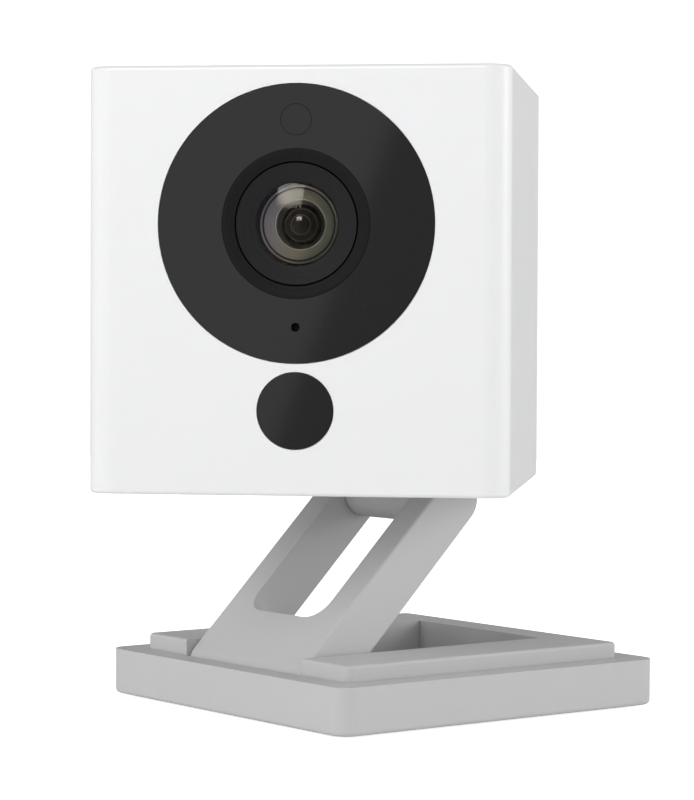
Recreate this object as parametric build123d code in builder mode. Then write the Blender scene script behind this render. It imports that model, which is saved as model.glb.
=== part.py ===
"""Cube security camera on a folding stand.

A cube head carries the lens and turns on a swivel disc. A forked arm joins the disc to a square
base with a raised step, and folds down into a pocket of that base. Millimetres, +Z up. The origin
is on the table under the middle of the base. The head faces -Y, and the stand is turned 45 degrees
under it, as the camera stands in use.
"""

import os
from math import cos, hypot, radians, sin

from build123d import *

os.makedirs("parts", exist_ok=True)

# ---------------------------------------------------------------- overall sizes
side = 50.3                 # width and depth of the head and of the base
head_height = 50.6
stand_yaw = 45.0            # turn of the stand under the head
arm_rise = 45.0             # angle of the arm above the table

# ---------------------------------------------------------------- base and arm
pad_proud = 0.3             # foot pad below the base
pad_thickness = 0.8
pad_side = 40.0
pad_corner = 4.0
base_cover_thickness = 1.0
base_wall = 1.6
base_corner = 2.5
base_foot_edge = 0.6        # rounding round the bottom of the base
step_inset = 3.6
step_height = 2.0
step_corner = 1.0
step_edge = 0.4
fit_gap = 0.1               # between parts that are fixed in each other
arm_thickness = 6.4
arm_width = 24.0
arm_length = 30.3           # between the two hinge pins
arm_edge = 0.3
arm_floor_gap = 0.4         # under the folded arm
arm_side_gap = 0.35
arm_end_gap = 1.3
barrel_gap = 0.3            # round a turning barrel
fork_slot = 15.3
fork_slot_start = 7.0       # from the base pin to the slot
fork_slot_corner = 3.0
pin_radius = 1.2
pin_press = 0.01            # radial, where the pin is held
pin_running = 0.05          # radial, where the part turns
pin_grip = 3.2              # length of the base pin in each side of the base
pin_cap = 1.0               # wall that hides the end of the head pin
pin_sunk = 0.3
washer_radius = 2.7
washer_play = 0.05          # on each face of a washer
magnet_radius = 3.0
magnet_thickness = 2.0
magnet_spacing = 18.0
yoke_length = 27.0
yoke_thickness = 1.5
chamber_wall = 1.5
base_screw_gap = 0.3        # between the tip of a cover screw and the level of the base pin
base_screw_radius = 0.7
base_screw_head_radius = 1.4
base_screw_head = 0.4
base_screw_inset = 2.6        # from the edge of the pad

# ---------------------------------------------------------------- head
head_wall = 2.0
front_wall = 2.2
head_corner = 3.0           # upright edges
head_edge = 0.5             # all other outside edges
recess_gap = 0.35           # round the base step when folded
recess_depth = 2.4
ceiling_thickness = 3.0
hinge_drop = 1.82           # head pin below the underside of the head
rear_border = 3.65
rear_border_depth = 3.0
rear_cover_thickness = 2.0
small_board_gap = 1.75
small_board_post_place = 5.4
small_board_post_radius = 1.2
button_post_offset = 3.4
button_post_radius = 1.3
case_screw_radius = 0.8

# ---------------------------------------------------------------- swivel
disc_rim = 1.2              # disc beyond the lug
disc_thickness = 1.5
disc_gap = 0.15
disc_axial_gap = 0.1
hub_radius = 5.95
hub_running = 0.05
spring_washer_height = 0.6
spring_washer_width = 3.0
retainer_radius = 9.8
retainer_thickness = 1.0
lug_gap = 0.4
swivel_screw_circle = 3.4
swivel_screw_radius = 0.7
swivel_screw_depth = 3.0

# ---------------------------------------------------------------- front of the head
lens_above_middle = 6.7
window_radius = 16.36
window_thickness = 1.0
window_sunk = 0.1
window_gap = 0.1
seal_thickness = 0.2
window_ledge = 1.36
hood_radius = 8.78
hood_gap = 0.05
hood_inner = 7.35
hood_flange = 0.8
microphone_hole = 0.53
microphone_below = 12.14
indicator_radius = 1.8
indicator_above = 12.2
small_window_radius = 4.5
small_window_below = 21.97
small_window_ledge = 1.1
lamp_board_gap = 1.35
board_thickness = 1.0
lamp_circle = 12.6
lamp_radius = 1.3
lamp_height = 1.4
sensor_post_spacing = 28.0
sensor_post_radius = 1.7
post_hole = 0.55
microphone_height = 1.2
microphone_radius = 1.6
board_corner = 0.8
lamp_start = -35.0          # of each group of three lamps
lamp_span = 105.0
sensor_board_margin = 1.5
small_board_margin = 1.6
small_board_height = 7.0
light_sensor_width = 3.0
light_sensor_height = 2.4
light_sensor_thickness = 1.0
status_lamp_width = 1.6
status_lamp_height = 0.8

screw_length = 3.0          # of a board screw, in its post
screw_head_radius = 1.05
screw_head = 0.7

# ---------------------------------------------------------------- lens
barrel_front = 0.45         # barrel behind the front face of the head
barrel_radius = 7.15
barrel_head_length = 5.05
thread_radius = 6.0
barrel_length = 11.85
front_bore = 4.95
rear_bore = 3.45
lens_gap = 0.05
holder_side = 16.0
sensor_plane = 15.35        # front of the sensor board behind the front of the head
glass_seat = 1.2
baffle_front = 3.6
shoulder = 4.4
rear_lip = 2.9
rear_lip_at = 11.5
holder_front = 7.5
filter_ledge = 12.5
filter_seat = 13.1
filter_side = 9.2
filter_thickness = 0.4
foot_width = 22.0
foot_thickness = 2.5
holder_screw_place = 9.3
front_rim = 1.3             # places along the lens are behind the front face
front_hollow = 1.1
spacer_front = 2.0
spacer_mouth = 4.4
spacer_throat = 3.05
baffle_mouth = 2.96
baffle_throat = 2.42
middle_rim_front = 5.0
middle_rim_back = 6.3
middle_bulge = 0.55
inner_back_bulge = 0.4
stop_front = 6.75
stop_back = 7.2
stop_radius = 1.1
rear_rim_front = 8.0
rear_bulge = 0.5
sensor_width = 7.2
sensor_height = 5.6
sensor_thickness = 0.9

# ---------------------------------------------------------------- back of the head
main_board_thickness = 1.2
main_board_stand = 3.55
main_board_top = 29.2
speaker_radius = 7.8
speaker_height = 37.8
grille_hole = 0.55
grille_pitch = 2.0
usb_width = 13.2
usb_height = 5.8
usb_depth = 14.0
usb_place = (14.2, 18.0)    # across and up from the middle of the underside
power_width = 7.6
power_height = 2.9
power_place = (-12.0, 18.0)
port_gap = 0.2
light_pipe_radius = 0.9
light_pipe_height = 25.0
card_width = 11.2
card_slot = 0.9
case_screw_place = 18.0
button_place = 17.0
button_radius = 2.0
button_gap = 0.1
button_travel = 0.4
button_proud = 0.3
switch_side = 4.5
switch_height = 2.0
flange_gap = 0.1
flange_thickness = 0.6
flange_radius = 2.8
stem_radius = 1.0
lug_side = 5.0
lug_height = 5.0
board_boss_radius = 1.8
lower_boss_x = 11.5
lower_boss_z = 8.6
upper_boss_x = 18.8
speaker_ring_wall = 0.95
speaker_ring_depth = 2.6
chip_height = 22.3
chip_side = 12.0
chip_thickness = 1.2
pad_height = 0.8
spreader_thickness = 1.5
shield_width = 10.5
shield_height = 9.5
shield_depth = 2.0
shield_sheet = 0.3
metal = 0.35
usb_block = 4.0
usb_tongue_width = 11.1
usb_tongue_thickness = 1.9
usb_tongue_above = 1.0
power_tongue_width = 3.8
power_tongue_thickness = 0.6
tongue_sunk = 1.0
gasket_thickness = 0.8
lamp_thickness = 0.7
connector_width = 10.0
connector_height = 3.0
connector_depth = 1.2
ribbon_width = 8.0
ribbon_thickness = 0.3
button_board_rise = 3.5
button_board_margin = 1.5
lug_roof = 1.0
case_end_gap = 0.5
power_corner = 0.7
boss_inset = 1.9
tongue_margin = 3.0
tongue_clearance = 0.8
shoulder_clearance = 1.0
board_side_gap = 0.5
spreader_overhang = 0.7
shield_rise = 1.5
shield_across = 14.0
shield_corner = 0.5
antenna_behind = 8.3        # in front of the back of the head
antenna_below = 9.6
antenna_thickness = 0.3
antenna_width = 6.0
antenna_length = 28.0
card_body_margin = 1.4
card_clearance = 0.2
card_body_height = 14.6
card_thickness = 1.9
card_slot_depth = 13.0
gasket_width = 1.1
speaker_frame_depth = 2.6
speaker_depth = 4.4
speaker_magnet_radius = 4.7
speaker_rim = 1.4
cone_depth = 0.5
ribbon_below_lens = 11.0
ribbon_above_floor = 6.6
ribbon_bend = 3.0

# ---------------------------------------------------------------- worked out from the sizes above
base_bottom = pad_proud
pocket_floor = base_bottom + base_cover_thickness
step_top = pocket_floor + arm_floor_gap + arm_thickness
plate_top = step_top - step_height
step_side = side - 2 * step_inset
base_pin_u = -step_side / 2 + arm_thickness / 2
base_pin_z = step_top - arm_thickness / 2
head_pin_u = base_pin_u + arm_length * cos(radians(arm_rise))
head_pin_z = base_pin_z + arm_length * sin(radians(arm_rise))
base_screw_length = base_pin_z - pin_radius - base_screw_gap - pocket_floor
lug_offset = base_pin_u + arm_length     # so that the folded head stands over the base
head_u = head_pin_u - lug_offset
head_x = head_u * cos(radians(stand_yaw))
head_y = head_u * sin(radians(stand_yaw))
head_bottom = head_pin_z + hinge_drop
recess_side = step_side + 2 * recess_gap
recess_corner = step_corner + recess_gap
cavity_low = recess_depth + ceiling_thickness
cavity_high = head_height - head_wall
cavity_width = side - 2 * head_wall
lug_width = fork_slot - 2 * lug_gap
disc_radius = hypot(lug_offset + arm_thickness / 2, lug_width / 2) + disc_rim
lens_height = head_height / 2 + lens_above_middle
pocket_width = arm_width + 2 * arm_side_gap
pocket_front = base_pin_u - arm_thickness / 2 - barrel_gap
pocket_back = base_pin_u + arm_length + arm_thickness / 2 + arm_end_gap
rear_cover_front = side - rear_cover_thickness
main_board_back = rear_cover_front - main_board_stand
sensor_board_side = sensor_post_spacing + 2 * sensor_board_margin
small_board_width = 2 * (small_board_post_place + small_board_margin)
button_board_side = 2 * (button_post_offset + button_board_margin)
spreader_side = chip_side + 2 * spreader_overhang
card_body_width = card_width + 2 * card_body_margin

along_u = (cos(radians(stand_yaw)), sin(radians(stand_yaw)), 0)
along_v = (-sin(radians(stand_yaw)), cos(radians(stand_yaw)), 0)
against_v = (sin(radians(stand_yaw)), -cos(radians(stand_yaw)), 0)


def stand_level(height):
    """Level plane of the stand: x runs from the base hinge to the far side."""
    return Plane(origin=(0, 0, height), x_dir=along_u, z_dir=(0, 0, 1))


def fold_plane(across=0.0):
    """Upright plane that the arm folds in: x is the stand's, y is up."""
    origin = (along_v[0] * across, along_v[1] * across, 0)
    return Plane(origin=origin, x_dir=along_u, z_dir=against_v)


def head_level(height):
    """Level plane of the head, above its underside."""
    return Plane(origin=(head_x, head_y, head_bottom + height))


def facing(behind, up=0.0, across=0.0):
    """Upright plane facing the front of the head, a distance behind the front face."""
    origin = (head_x + across, head_y - side / 2 + behind, head_bottom + up)
    return Plane(origin=origin, x_dir=(1, 0, 0), z_dir=(0, -1, 0))


def lens_face(behind):
    """The same, centred on the lens."""
    return facing(behind, lens_height)


def lens_section():
    """Half section of the lens: x is the radius, y is the distance behind the front face."""
    origin = (head_x, head_y - side / 2, head_bottom + lens_height)
    return Plane(origin=origin, x_dir=(1, 0, 0), z_dir=(0, 0, 1))


lens_axis = Axis((head_x, head_y, head_bottom + lens_height), (0, 1, 0))


# ================================================================ base
with BuildPart() as base_body:
    with BuildSketch(stand_level(base_bottom)):
        RectangleRounded(side, side, base_corner)
    extrude(amount=plate_top - base_bottom)
    fillet(base_body.faces().sort_by(Axis.Z)[0].edges(), base_foot_edge)
    with BuildSketch(stand_level(plate_top)):
        RectangleRounded(step_side, step_side, step_corner)
    extrude(amount=step_height)
    fillet(base_body.faces().sort_by(Axis.Z)[-1].edges(), step_edge)
    # recess for the cover plate
    with BuildSketch(stand_level(base_bottom)):
        RectangleRounded(side - 2 * base_wall, side - 2 * base_wall, base_corner - fit_gap)
    extrude(amount=base_cover_thickness, mode=Mode.SUBTRACT)
    # pocket that the arm folds into, open at the front of the step
    with BuildSketch(stand_level(pocket_floor)):
        with Locations(((pocket_front + pocket_back) / 2, 0)):
            Rectangle(pocket_back - pocket_front, pocket_width)
    extrude(amount=step_top, mode=Mode.SUBTRACT)
    # chambers for the magnets, one on each side of the pocket
    chamber_inner = pocket_width / 2 + chamber_wall
    chamber_width = 2 * magnet_radius + 2 * fit_gap
    chamber_middle = chamber_inner + chamber_width / 2
    with BuildSketch(stand_level(pocket_floor)):
        with GridLocations(0, 2 * chamber_middle, 1, 2):
            Rectangle(yoke_length + 2 * fit_gap, chamber_width)
    extrude(amount=magnet_thickness + yoke_thickness + fit_gap, mode=Mode.SUBTRACT)
    # seat of the base pin
    with BuildSketch(fold_plane()):
        with Locations((base_pin_u, base_pin_z)):
            Circle(pin_radius + pin_press)
    extrude(amount=pocket_width / 2 + pin_grip, both=True, mode=Mode.SUBTRACT)
    # pilot holes of the cover screws
    base_screw_place = pad_side / 2 - base_screw_inset
    with BuildSketch(stand_level(pocket_floor)):
        with GridLocations(2 * base_screw_place, 2 * base_screw_place, 2, 2):
            Circle(base_screw_radius)
    extrude(amount=base_screw_length, mode=Mode.SUBTRACT)
base_body.part.label = "base_body"
export_step(base_body.part, "parts/base_body.step")

pad_depth = pad_thickness - pad_proud
with BuildPart() as base_cover:
    cover_side = side - 2 * base_wall - 2 * fit_gap
    with BuildSketch(stand_level(base_bottom)):
        RectangleRounded(cover_side, cover_side, base_corner - 2 * fit_gap)
    extrude(amount=base_cover_thickness)
    with BuildSketch(stand_level(base_bottom)):
        RectangleRounded(pad_side + 2 * fit_gap, pad_side + 2 * fit_gap, pad_corner + fit_gap)
    extrude(amount=pad_depth, mode=Mode.SUBTRACT)
    with BuildSketch(stand_level(base_bottom + pad_depth)):
        with GridLocations(2 * base_screw_place, 2 * base_screw_place, 2, 2):
            Circle(base_screw_radius + fit_gap)
    extrude(amount=base_cover_thickness, mode=Mode.SUBTRACT)
base_cover.part.label = "base_cover"
export_step(base_cover.part, "parts/base_cover.step")

with BuildPart() as foot_pad:
    with BuildSketch(stand_level(0)):
        RectangleRounded(pad_side, pad_side, pad_corner)
    extrude(amount=pad_thickness)
    # pockets in the back of the pad, over the screw heads
    with BuildSketch(stand_level(pad_thickness - base_screw_head)):
        with GridLocations(2 * base_screw_place, 2 * base_screw_place, 2, 2):
            Circle(base_screw_head_radius + fit_gap)
    extrude(amount=base_screw_head, mode=Mode.SUBTRACT)
foot_pad.part.label = "foot_pad"
export_step(foot_pad.part, "parts/foot_pad.step")

with BuildPart() as base_screws:
    with BuildSketch(stand_level(base_bottom + pad_depth - base_screw_head)):
        with GridLocations(2 * base_screw_place, 2 * base_screw_place, 2, 2):
            Circle(base_screw_head_radius)
    extrude(amount=base_screw_head)
    with BuildSketch(stand_level(base_bottom + pad_depth)):
        with GridLocations(2 * base_screw_place, 2 * base_screw_place, 2, 2):
            Circle(base_screw_radius)
    extrude(amount=base_cover_thickness - pad_depth + base_screw_length)
base_screws.part.label = "base_screws"
export_step(base_screws.part, "parts/base_screws.step")

with BuildPart() as base_magnets:
    with BuildSketch(stand_level(pocket_floor)):
        with GridLocations(magnet_spacing, 2 * chamber_middle, 2, 2):
            Circle(magnet_radius)
    extrude(amount=magnet_thickness)
base_magnets.part.label = "base_magnets"
export_step(base_magnets.part, "parts/base_magnets.step")

with BuildPart() as magnet_yokes:
    with BuildSketch(stand_level(pocket_floor + magnet_thickness)):
        with GridLocations(0, 2 * chamber_middle, 1, 2):
            Rectangle(yoke_length, 2 * magnet_radius)
    extrude(amount=yoke_thickness)
magnet_yokes.part.label = "magnet_yokes"
export_step(magnet_yokes.part, "parts/magnet_yokes.step")

with BuildPart() as base_pin:
    with BuildSketch(fold_plane()):
        with Locations((base_pin_u, base_pin_z)):
            Circle(pin_radius)
    extrude(amount=pocket_width / 2 + pin_grip, both=True)
base_pin.part.label = "base_pin"
export_step(base_pin.part, "parts/base_pin.step")


def washer_pair(inner_face, outer_face, up_u, up_z):
    """Two flat washers on a pin, between two faces on each side of the middle."""
    thickness = outer_face - inner_face - 2 * washer_play
    with BuildPart() as pair:
        for start in (inner_face + washer_play + thickness, -inner_face - washer_play):
            with BuildSketch(fold_plane(start)):
                with Locations((up_u, up_z)):
                    Circle(washer_radius)
                    Circle(pin_radius + pin_running, mode=Mode.SUBTRACT)
            extrude(amount=thickness)
    return pair


base_washers = washer_pair(arm_width / 2, pocket_width / 2, base_pin_u, base_pin_z)
base_washers.part.label = "base_washers"
export_step(base_washers.part, "parts/base_washers.step")

# ================================================================ arm
arm_direction = (
    along_u[0] * cos(radians(arm_rise)),
    along_u[1] * cos(radians(arm_rise)),
    sin(radians(arm_rise)),
)
arm_normal = (
    -along_u[0] * sin(radians(arm_rise)),
    -along_u[1] * sin(radians(arm_rise)),
    cos(radians(arm_rise)),
)
arm_root = (along_u[0] * base_pin_u, along_u[1] * base_pin_u, base_pin_z)
arm_plane = Plane(origin=arm_root, x_dir=arm_direction, z_dir=arm_normal)

with BuildPart() as stand_arm:
    arm_middle = ((base_pin_u + head_pin_u) / 2, (base_pin_z + head_pin_z) / 2)
    with BuildSketch(fold_plane()):
        with Locations(arm_middle):
            SlotCenterToCenter(arm_length, arm_thickness, rotation=arm_rise)
    extrude(amount=arm_width / 2, both=True)
    across = Axis((0, 0, 0), along_v)
    arm_faces = stand_arm.faces().sort_by(across)
    fillet(arm_faces[0].edges() + arm_faces[-1].edges(), arm_edge)
    # slot of the fork, open at the head end
    slot_end = arm_length + arm_thickness
    with BuildSketch(arm_plane) as fork:
        with Locations(((fork_slot_start + slot_end) / 2, 0)):
            Rectangle(slot_end - fork_slot_start, fork_slot)
        fillet(fork.vertices().group_by(Axis.X)[0], fork_slot_corner)
    extrude(amount=arm_thickness, both=True, mode=Mode.SUBTRACT)
    # base pin turns in the foot
    with BuildSketch(fold_plane()):
        with Locations((base_pin_u, base_pin_z)):
            Circle(pin_radius + pin_running)
    extrude(amount=arm_width, both=True, mode=Mode.SUBTRACT)
    # head pin is driven in from one side and stops short of the other
    with BuildSketch(fold_plane(-arm_width / 2 + pin_cap)):
        with Locations((head_pin_u, head_pin_z)):
            Circle(pin_radius + pin_press)
    extrude(amount=-arm_width, mode=Mode.SUBTRACT)
stand_arm.part.label = "stand_arm"
export_step(stand_arm.part, "parts/stand_arm.step")

with BuildPart() as head_pin:
    with BuildSketch(fold_plane(-arm_width / 2 + pin_cap + fit_gap)):
        with Locations((head_pin_u, head_pin_z)):
            Circle(pin_radius)
    extrude(amount=-(arm_width - pin_cap - fit_gap - pin_sunk))
head_pin.part.label = "head_pin"
export_step(head_pin.part, "parts/head_pin.step")

head_washers = washer_pair(lug_width / 2, fork_slot / 2, head_pin_u, head_pin_z)
head_washers.part.label = "head_washers"
export_step(head_washers.part, "parts/head_washers.step")

# ================================================================ swivel
hub_top = cavity_low + spring_washer_height
with BuildPart() as swivel_carrier:
    with BuildSketch(head_level(recess_depth)):
        Circle(disc_radius)
    extrude(amount=disc_thickness)
    with BuildSketch(head_level(recess_depth)):
        Circle(hub_radius)
    extrude(amount=hub_top - recess_depth)
    # lug between the legs of the fork, up to the disc
    neck_height = hinge_drop + recess_depth + disc_thickness / 2
    with BuildSketch(fold_plane()):
        with Locations((head_pin_u, head_pin_z)):
            Circle(arm_thickness / 2)
        with Locations((head_pin_u, head_pin_z + neck_height / 2)):
            Rectangle(arm_thickness, neck_height)
    extrude(amount=lug_width / 2, both=True)
    with BuildSketch(fold_plane()):
        with Locations((head_pin_u, head_pin_z)):
            Circle(pin_radius + pin_running)
    extrude(amount=arm_width, both=True, mode=Mode.SUBTRACT)
    with BuildSketch(head_level(hub_top)):
        with PolarLocations(swivel_screw_circle, 3):
            Circle(swivel_screw_radius)
    extrude(amount=-swivel_screw_depth, mode=Mode.SUBTRACT)
swivel_carrier.part.label = "swivel_carrier"
export_step(swivel_carrier.part, "parts/swivel_carrier.step")

with BuildPart() as spring_washer:
    spring_washer_inner = hub_radius + disc_gap
    with BuildSketch(head_level(cavity_low + washer_play)):
        Circle(spring_washer_inner + spring_washer_width)
        Circle(spring_washer_inner, mode=Mode.SUBTRACT)
    extrude(amount=spring_washer_height - 2 * washer_play)
spring_washer.part.label = "spring_washer"
export_step(spring_washer.part, "parts/spring_washer.step")

with BuildPart() as swivel_retainer:
    with BuildSketch(head_level(hub_top)):
        Circle(retainer_radius)
        with PolarLocations(swivel_screw_circle, 3):
            Circle(swivel_screw_radius + fit_gap, mode=Mode.SUBTRACT)
    extrude(amount=retainer_thickness)
swivel_retainer.part.label = "swivel_retainer"
export_step(swivel_retainer.part, "parts/swivel_retainer.step")

with BuildPart() as swivel_screws:
    with BuildSketch(head_level(hub_top - swivel_screw_depth)):
        with PolarLocations(swivel_screw_circle, 3):
            Circle(swivel_screw_radius)
    extrude(amount=swivel_screw_depth + retainer_thickness)
    with BuildSketch(head_level(hub_top + retainer_thickness)):
        with PolarLocations(swivel_screw_circle, 3):
            Circle(2 * swivel_screw_radius)
    extrude(amount=swivel_screw_radius)
swivel_screws.part.label = "swivel_screws"
export_step(swivel_screws.part, "parts/swivel_screws.step")

# ================================================================ head shell
window_opening = window_radius - window_ledge
window_seat = window_sunk + window_thickness + seal_thickness
small_window_height = lens_height - small_window_below
small_window_opening = small_window_radius - small_window_ledge
button_board_height = cavity_low + button_board_rise
card_place = main_board_back - side / 2 + card_thickness / 2
button_posts = (
    (button_place - button_post_offset, -button_place - button_post_offset),
    (button_place + button_post_offset, -button_place + button_post_offset),
)
case_places = ((case_screw_place, case_screw_place), (-case_screw_place, case_screw_place))

with BuildPart() as head_shell:
    with BuildSketch(head_level(0)):
        RectangleRounded(side, side, head_corner)
    extrude(amount=head_height)
    shell_faces = head_shell.faces().sort_by(Axis.Z)
    fillet(shell_faces[0].edges() + shell_faces[-1].edges(), head_edge)
    # cavity, and the smaller opening that the rear cover closes
    with BuildSketch(facing(side - rear_border_depth, (cavity_low + cavity_high) / 2)):
        Rectangle(cavity_width, cavity_high - cavity_low)
    extrude(amount=side - rear_border_depth - front_wall, mode=Mode.SUBTRACT)
    opening_high = head_height - rear_border
    with BuildSketch(facing(side, (cavity_low + opening_high) / 2)):
        Rectangle(side - 2 * rear_border, opening_high - cavity_low)
    extrude(amount=rear_border_depth, mode=Mode.SUBTRACT)
    # recess in the underside, which takes the base step when folded
    with BuildSketch(head_level(0)):
        RectangleRounded(recess_side, recess_side, recess_corner)
    extrude(amount=recess_depth, mode=Mode.SUBTRACT)
    # swivel seat and hub hole
    with BuildSketch(head_level(recess_depth)):
        Circle(disc_radius + disc_gap)
    extrude(amount=disc_thickness + disc_axial_gap, mode=Mode.SUBTRACT)
    with BuildSketch(head_level(recess_depth)):
        Circle(hub_radius + hub_running)
    extrude(amount=ceiling_thickness, mode=Mode.SUBTRACT)
    # card slot, button hole and screw holes in the ceiling of the recess
    with BuildSketch(head_level(recess_depth)):
        with Locations((0, card_place)):
            Rectangle(card_width + 2 * fit_gap, card_slot + 2 * fit_gap)
        with Locations((button_place, -button_place)):
            Circle(button_radius + button_gap)
        with Locations(*case_places):
            Circle(case_screw_radius + fit_gap)
    extrude(amount=ceiling_thickness, mode=Mode.SUBTRACT)
    with BuildSketch(head_level(recess_depth)):
        with Locations(*case_places):
            Circle(2 * case_screw_radius + fit_gap)
    extrude(amount=2 * case_screw_radius, mode=Mode.SUBTRACT)
    # seats and openings of the two front windows
    with BuildSketch(lens_face(0)):
        Circle(window_radius + window_gap)
    extrude(amount=-window_seat, mode=Mode.SUBTRACT)
    with BuildSketch(lens_face(0)):
        Circle(window_opening)
    extrude(amount=-front_wall, mode=Mode.SUBTRACT)
    with BuildSketch(facing(0, small_window_height)):
        Circle(small_window_radius + window_gap)
    extrude(amount=-(window_sunk + window_thickness), mode=Mode.SUBTRACT)
    with BuildSketch(facing(0, small_window_height)):
        Circle(small_window_opening)
    extrude(amount=-front_wall, mode=Mode.SUBTRACT)
    # ring that the lamp board lies on
    with BuildSketch(lens_face(front_wall + lamp_board_gap)):
        Circle(window_opening + window_ledge)
        Circle(window_opening + window_gap, mode=Mode.SUBTRACT)
    extrude(amount=lamp_board_gap)
    # posts of the sensor board and of the small sensor board
    with BuildSketch(lens_face(sensor_plane)):
        with GridLocations(sensor_post_spacing, sensor_post_spacing, 2, 2):
            Circle(sensor_post_radius)
            Circle(post_hole, mode=Mode.SUBTRACT)
    extrude(amount=sensor_plane - front_wall)
    with BuildSketch(facing(front_wall + small_board_gap, small_window_height)):
        with GridLocations(2 * small_board_post_place, 0, 2, 1):
            Circle(small_board_post_radius)
            Circle(post_hole, mode=Mode.SUBTRACT)
    extrude(amount=small_board_gap)
    # posts of the button board
    with BuildSketch(head_level(cavity_low)):
        with Locations(*button_posts):
            Circle(button_post_radius)
            Circle(post_hole, mode=Mode.SUBTRACT)
    extrude(amount=button_board_height - cavity_low)
head_shell.part.label = "head_shell"
export_step(head_shell.part, "parts/head_shell.step")

# ================================================================ front windows
with BuildPart() as front_window:
    with BuildSketch(lens_face(window_sunk + window_thickness)):
        Circle(window_radius)
        Circle(hood_radius + hood_gap, mode=Mode.SUBTRACT)
        with Locations((0, -microphone_below)):
            Circle(microphone_hole, mode=Mode.SUBTRACT)
        with Locations((0, indicator_above)):
            Circle(indicator_radius + hood_gap, mode=Mode.SUBTRACT)
    extrude(amount=window_thickness)
front_window.part.label = "front_window"
export_step(front_window.part, "parts/front_window.step")

with BuildPart() as window_seal:
    with BuildSketch(lens_face(window_seat)):
        Circle(window_radius)
        Circle(window_opening + window_gap, mode=Mode.SUBTRACT)
    extrude(amount=seal_thickness)
window_seal.part.label = "window_seal"
export_step(window_seal.part, "parts/window_seal.step")

with BuildPart() as light_sensor_window:
    with BuildSketch(facing(window_sunk + window_thickness, small_window_height)):
        Circle(small_window_radius)
    extrude(amount=window_thickness)
light_sensor_window.part.label = "light_sensor_window"
export_step(light_sensor_window.part, "parts/light_sensor_window.step")

window_back = window_sunk + window_thickness
with BuildPart() as lens_hood:
    with BuildSketch(lens_section()):
        with BuildLine():
            Polyline(
                (hood_radius, window_sunk),
                (hood_radius, window_back),
                (hood_radius + hood_flange, window_back),
                (hood_radius + hood_flange, window_back + hood_flange),
                (hood_inner, window_back + hood_flange),
                (hood_inner, barrel_front),
                (hood_radius - (barrel_front - window_sunk), window_sunk),
                close=True,
            )
        make_face()
    revolve(axis=lens_axis)
lens_hood.part.label = "lens_hood"
export_step(lens_hood.part, "parts/lens_hood.step")

with BuildPart() as indicator_lens:
    with BuildSketch(facing(window_back + hood_flange, lens_height + indicator_above)):
        Circle(indicator_radius)
    extrude(amount=window_thickness + hood_flange)
indicator_lens.part.label = "indicator_lens"
export_step(indicator_lens.part, "parts/indicator_lens.step")

# ================================================================ lens
with BuildPart() as lens_barrel:
    barrel_back = barrel_front + barrel_length
    neck = barrel_front + barrel_head_length
    with BuildSketch(lens_section()):
        with BuildLine():
            Polyline(
                (barrel_radius, barrel_front),
                (barrel_radius, neck),
                (thread_radius, neck),
                (thread_radius, barrel_back),
                (rear_lip, barrel_back),
                (rear_lip, rear_lip_at),
                (rear_bore, rear_lip_at),
                (rear_bore, shoulder),
                (front_bore, shoulder),
                (front_bore, glass_seat),
                close=True,
            )
        make_face()
    revolve(axis=lens_axis)
lens_barrel.part.label = "lens_barrel"
export_step(lens_barrel.part, "parts/lens_barrel.step")


def lens_ring(front, back, inner_front, inner_back, outer):
    """Ring in the barrel, with a hole that may widen towards its front."""
    with BuildPart() as ring:
        with BuildSketch(lens_section()):
            with BuildLine():
                Polyline(
                    (inner_front, front),
                    (outer, front),
                    (outer, back),
                    (inner_back, back),
                    close=True,
                )
            make_face()
        revolve(axis=lens_axis)
    return ring


def lens_element(radius, rim_front, rim_back, front_bulge, back_bulge):
    """Round glass: a rim between two spherical faces. A negative bulge is hollow."""
    with BuildPart() as glass:
        with BuildSketch(lens_section()):
            with BuildLine():
                Line((0, rim_front - front_bulge), (0, rim_back + back_bulge))
                cap(radius, rim_back, back_bulge)
                Line((radius, rim_back), (radius, rim_front))
                cap(radius, rim_front, -front_bulge)
            make_face()
        revolve(axis=lens_axis)
    return glass


def cap(radius, rim, bulge):
    """Arc from the rim to the axis, bulging back by the given amount."""
    sphere = (radius**2 + bulge**2) / (2 * abs(bulge))
    half = radius / 2
    depth = (sphere**2 - half**2) ** 0.5 - (sphere**2 - radius**2) ** 0.5
    middle = rim + (depth if bulge > 0 else -depth)
    ThreePointArc((radius, rim), (half, middle), (0, rim + bulge))


front_lens = lens_element(
    front_bore - lens_gap, front_rim, spacer_front, front_rim - barrel_front, -front_hollow
)
front_lens.part.label = "front_lens"
export_step(front_lens.part, "parts/front_lens.step")

spacer_ring = lens_ring(
    spacer_front, baffle_front, spacer_mouth, spacer_throat, front_bore - lens_gap
)
spacer_ring.part.label = "spacer_ring"
export_step(spacer_ring.part, "parts/spacer_ring.step")

lens_baffle = lens_ring(baffle_front, shoulder, baffle_mouth, baffle_throat, front_bore - lens_gap)
lens_baffle.part.label = "lens_baffle"
export_step(lens_baffle.part, "parts/lens_baffle.step")

middle_lens = lens_element(
    rear_bore - lens_gap, middle_rim_front, middle_rim_back, middle_bulge, inner_back_bulge
)
middle_lens.part.label = "middle_lens"
export_step(middle_lens.part, "parts/middle_lens.step")

aperture_ring = lens_ring(stop_front, stop_back, stop_radius, stop_radius, rear_bore - lens_gap)
aperture_ring.part.label = "aperture_ring"
export_step(aperture_ring.part, "parts/aperture_ring.step")

rear_lens = lens_element(
    rear_bore - lens_gap, rear_rim_front, rear_lip_at - 3 * lens_gap, rear_bulge, inner_back_bulge
)
rear_lens.part.label = "rear_lens"
export_step(rear_lens.part, "parts/rear_lens.step")

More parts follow.
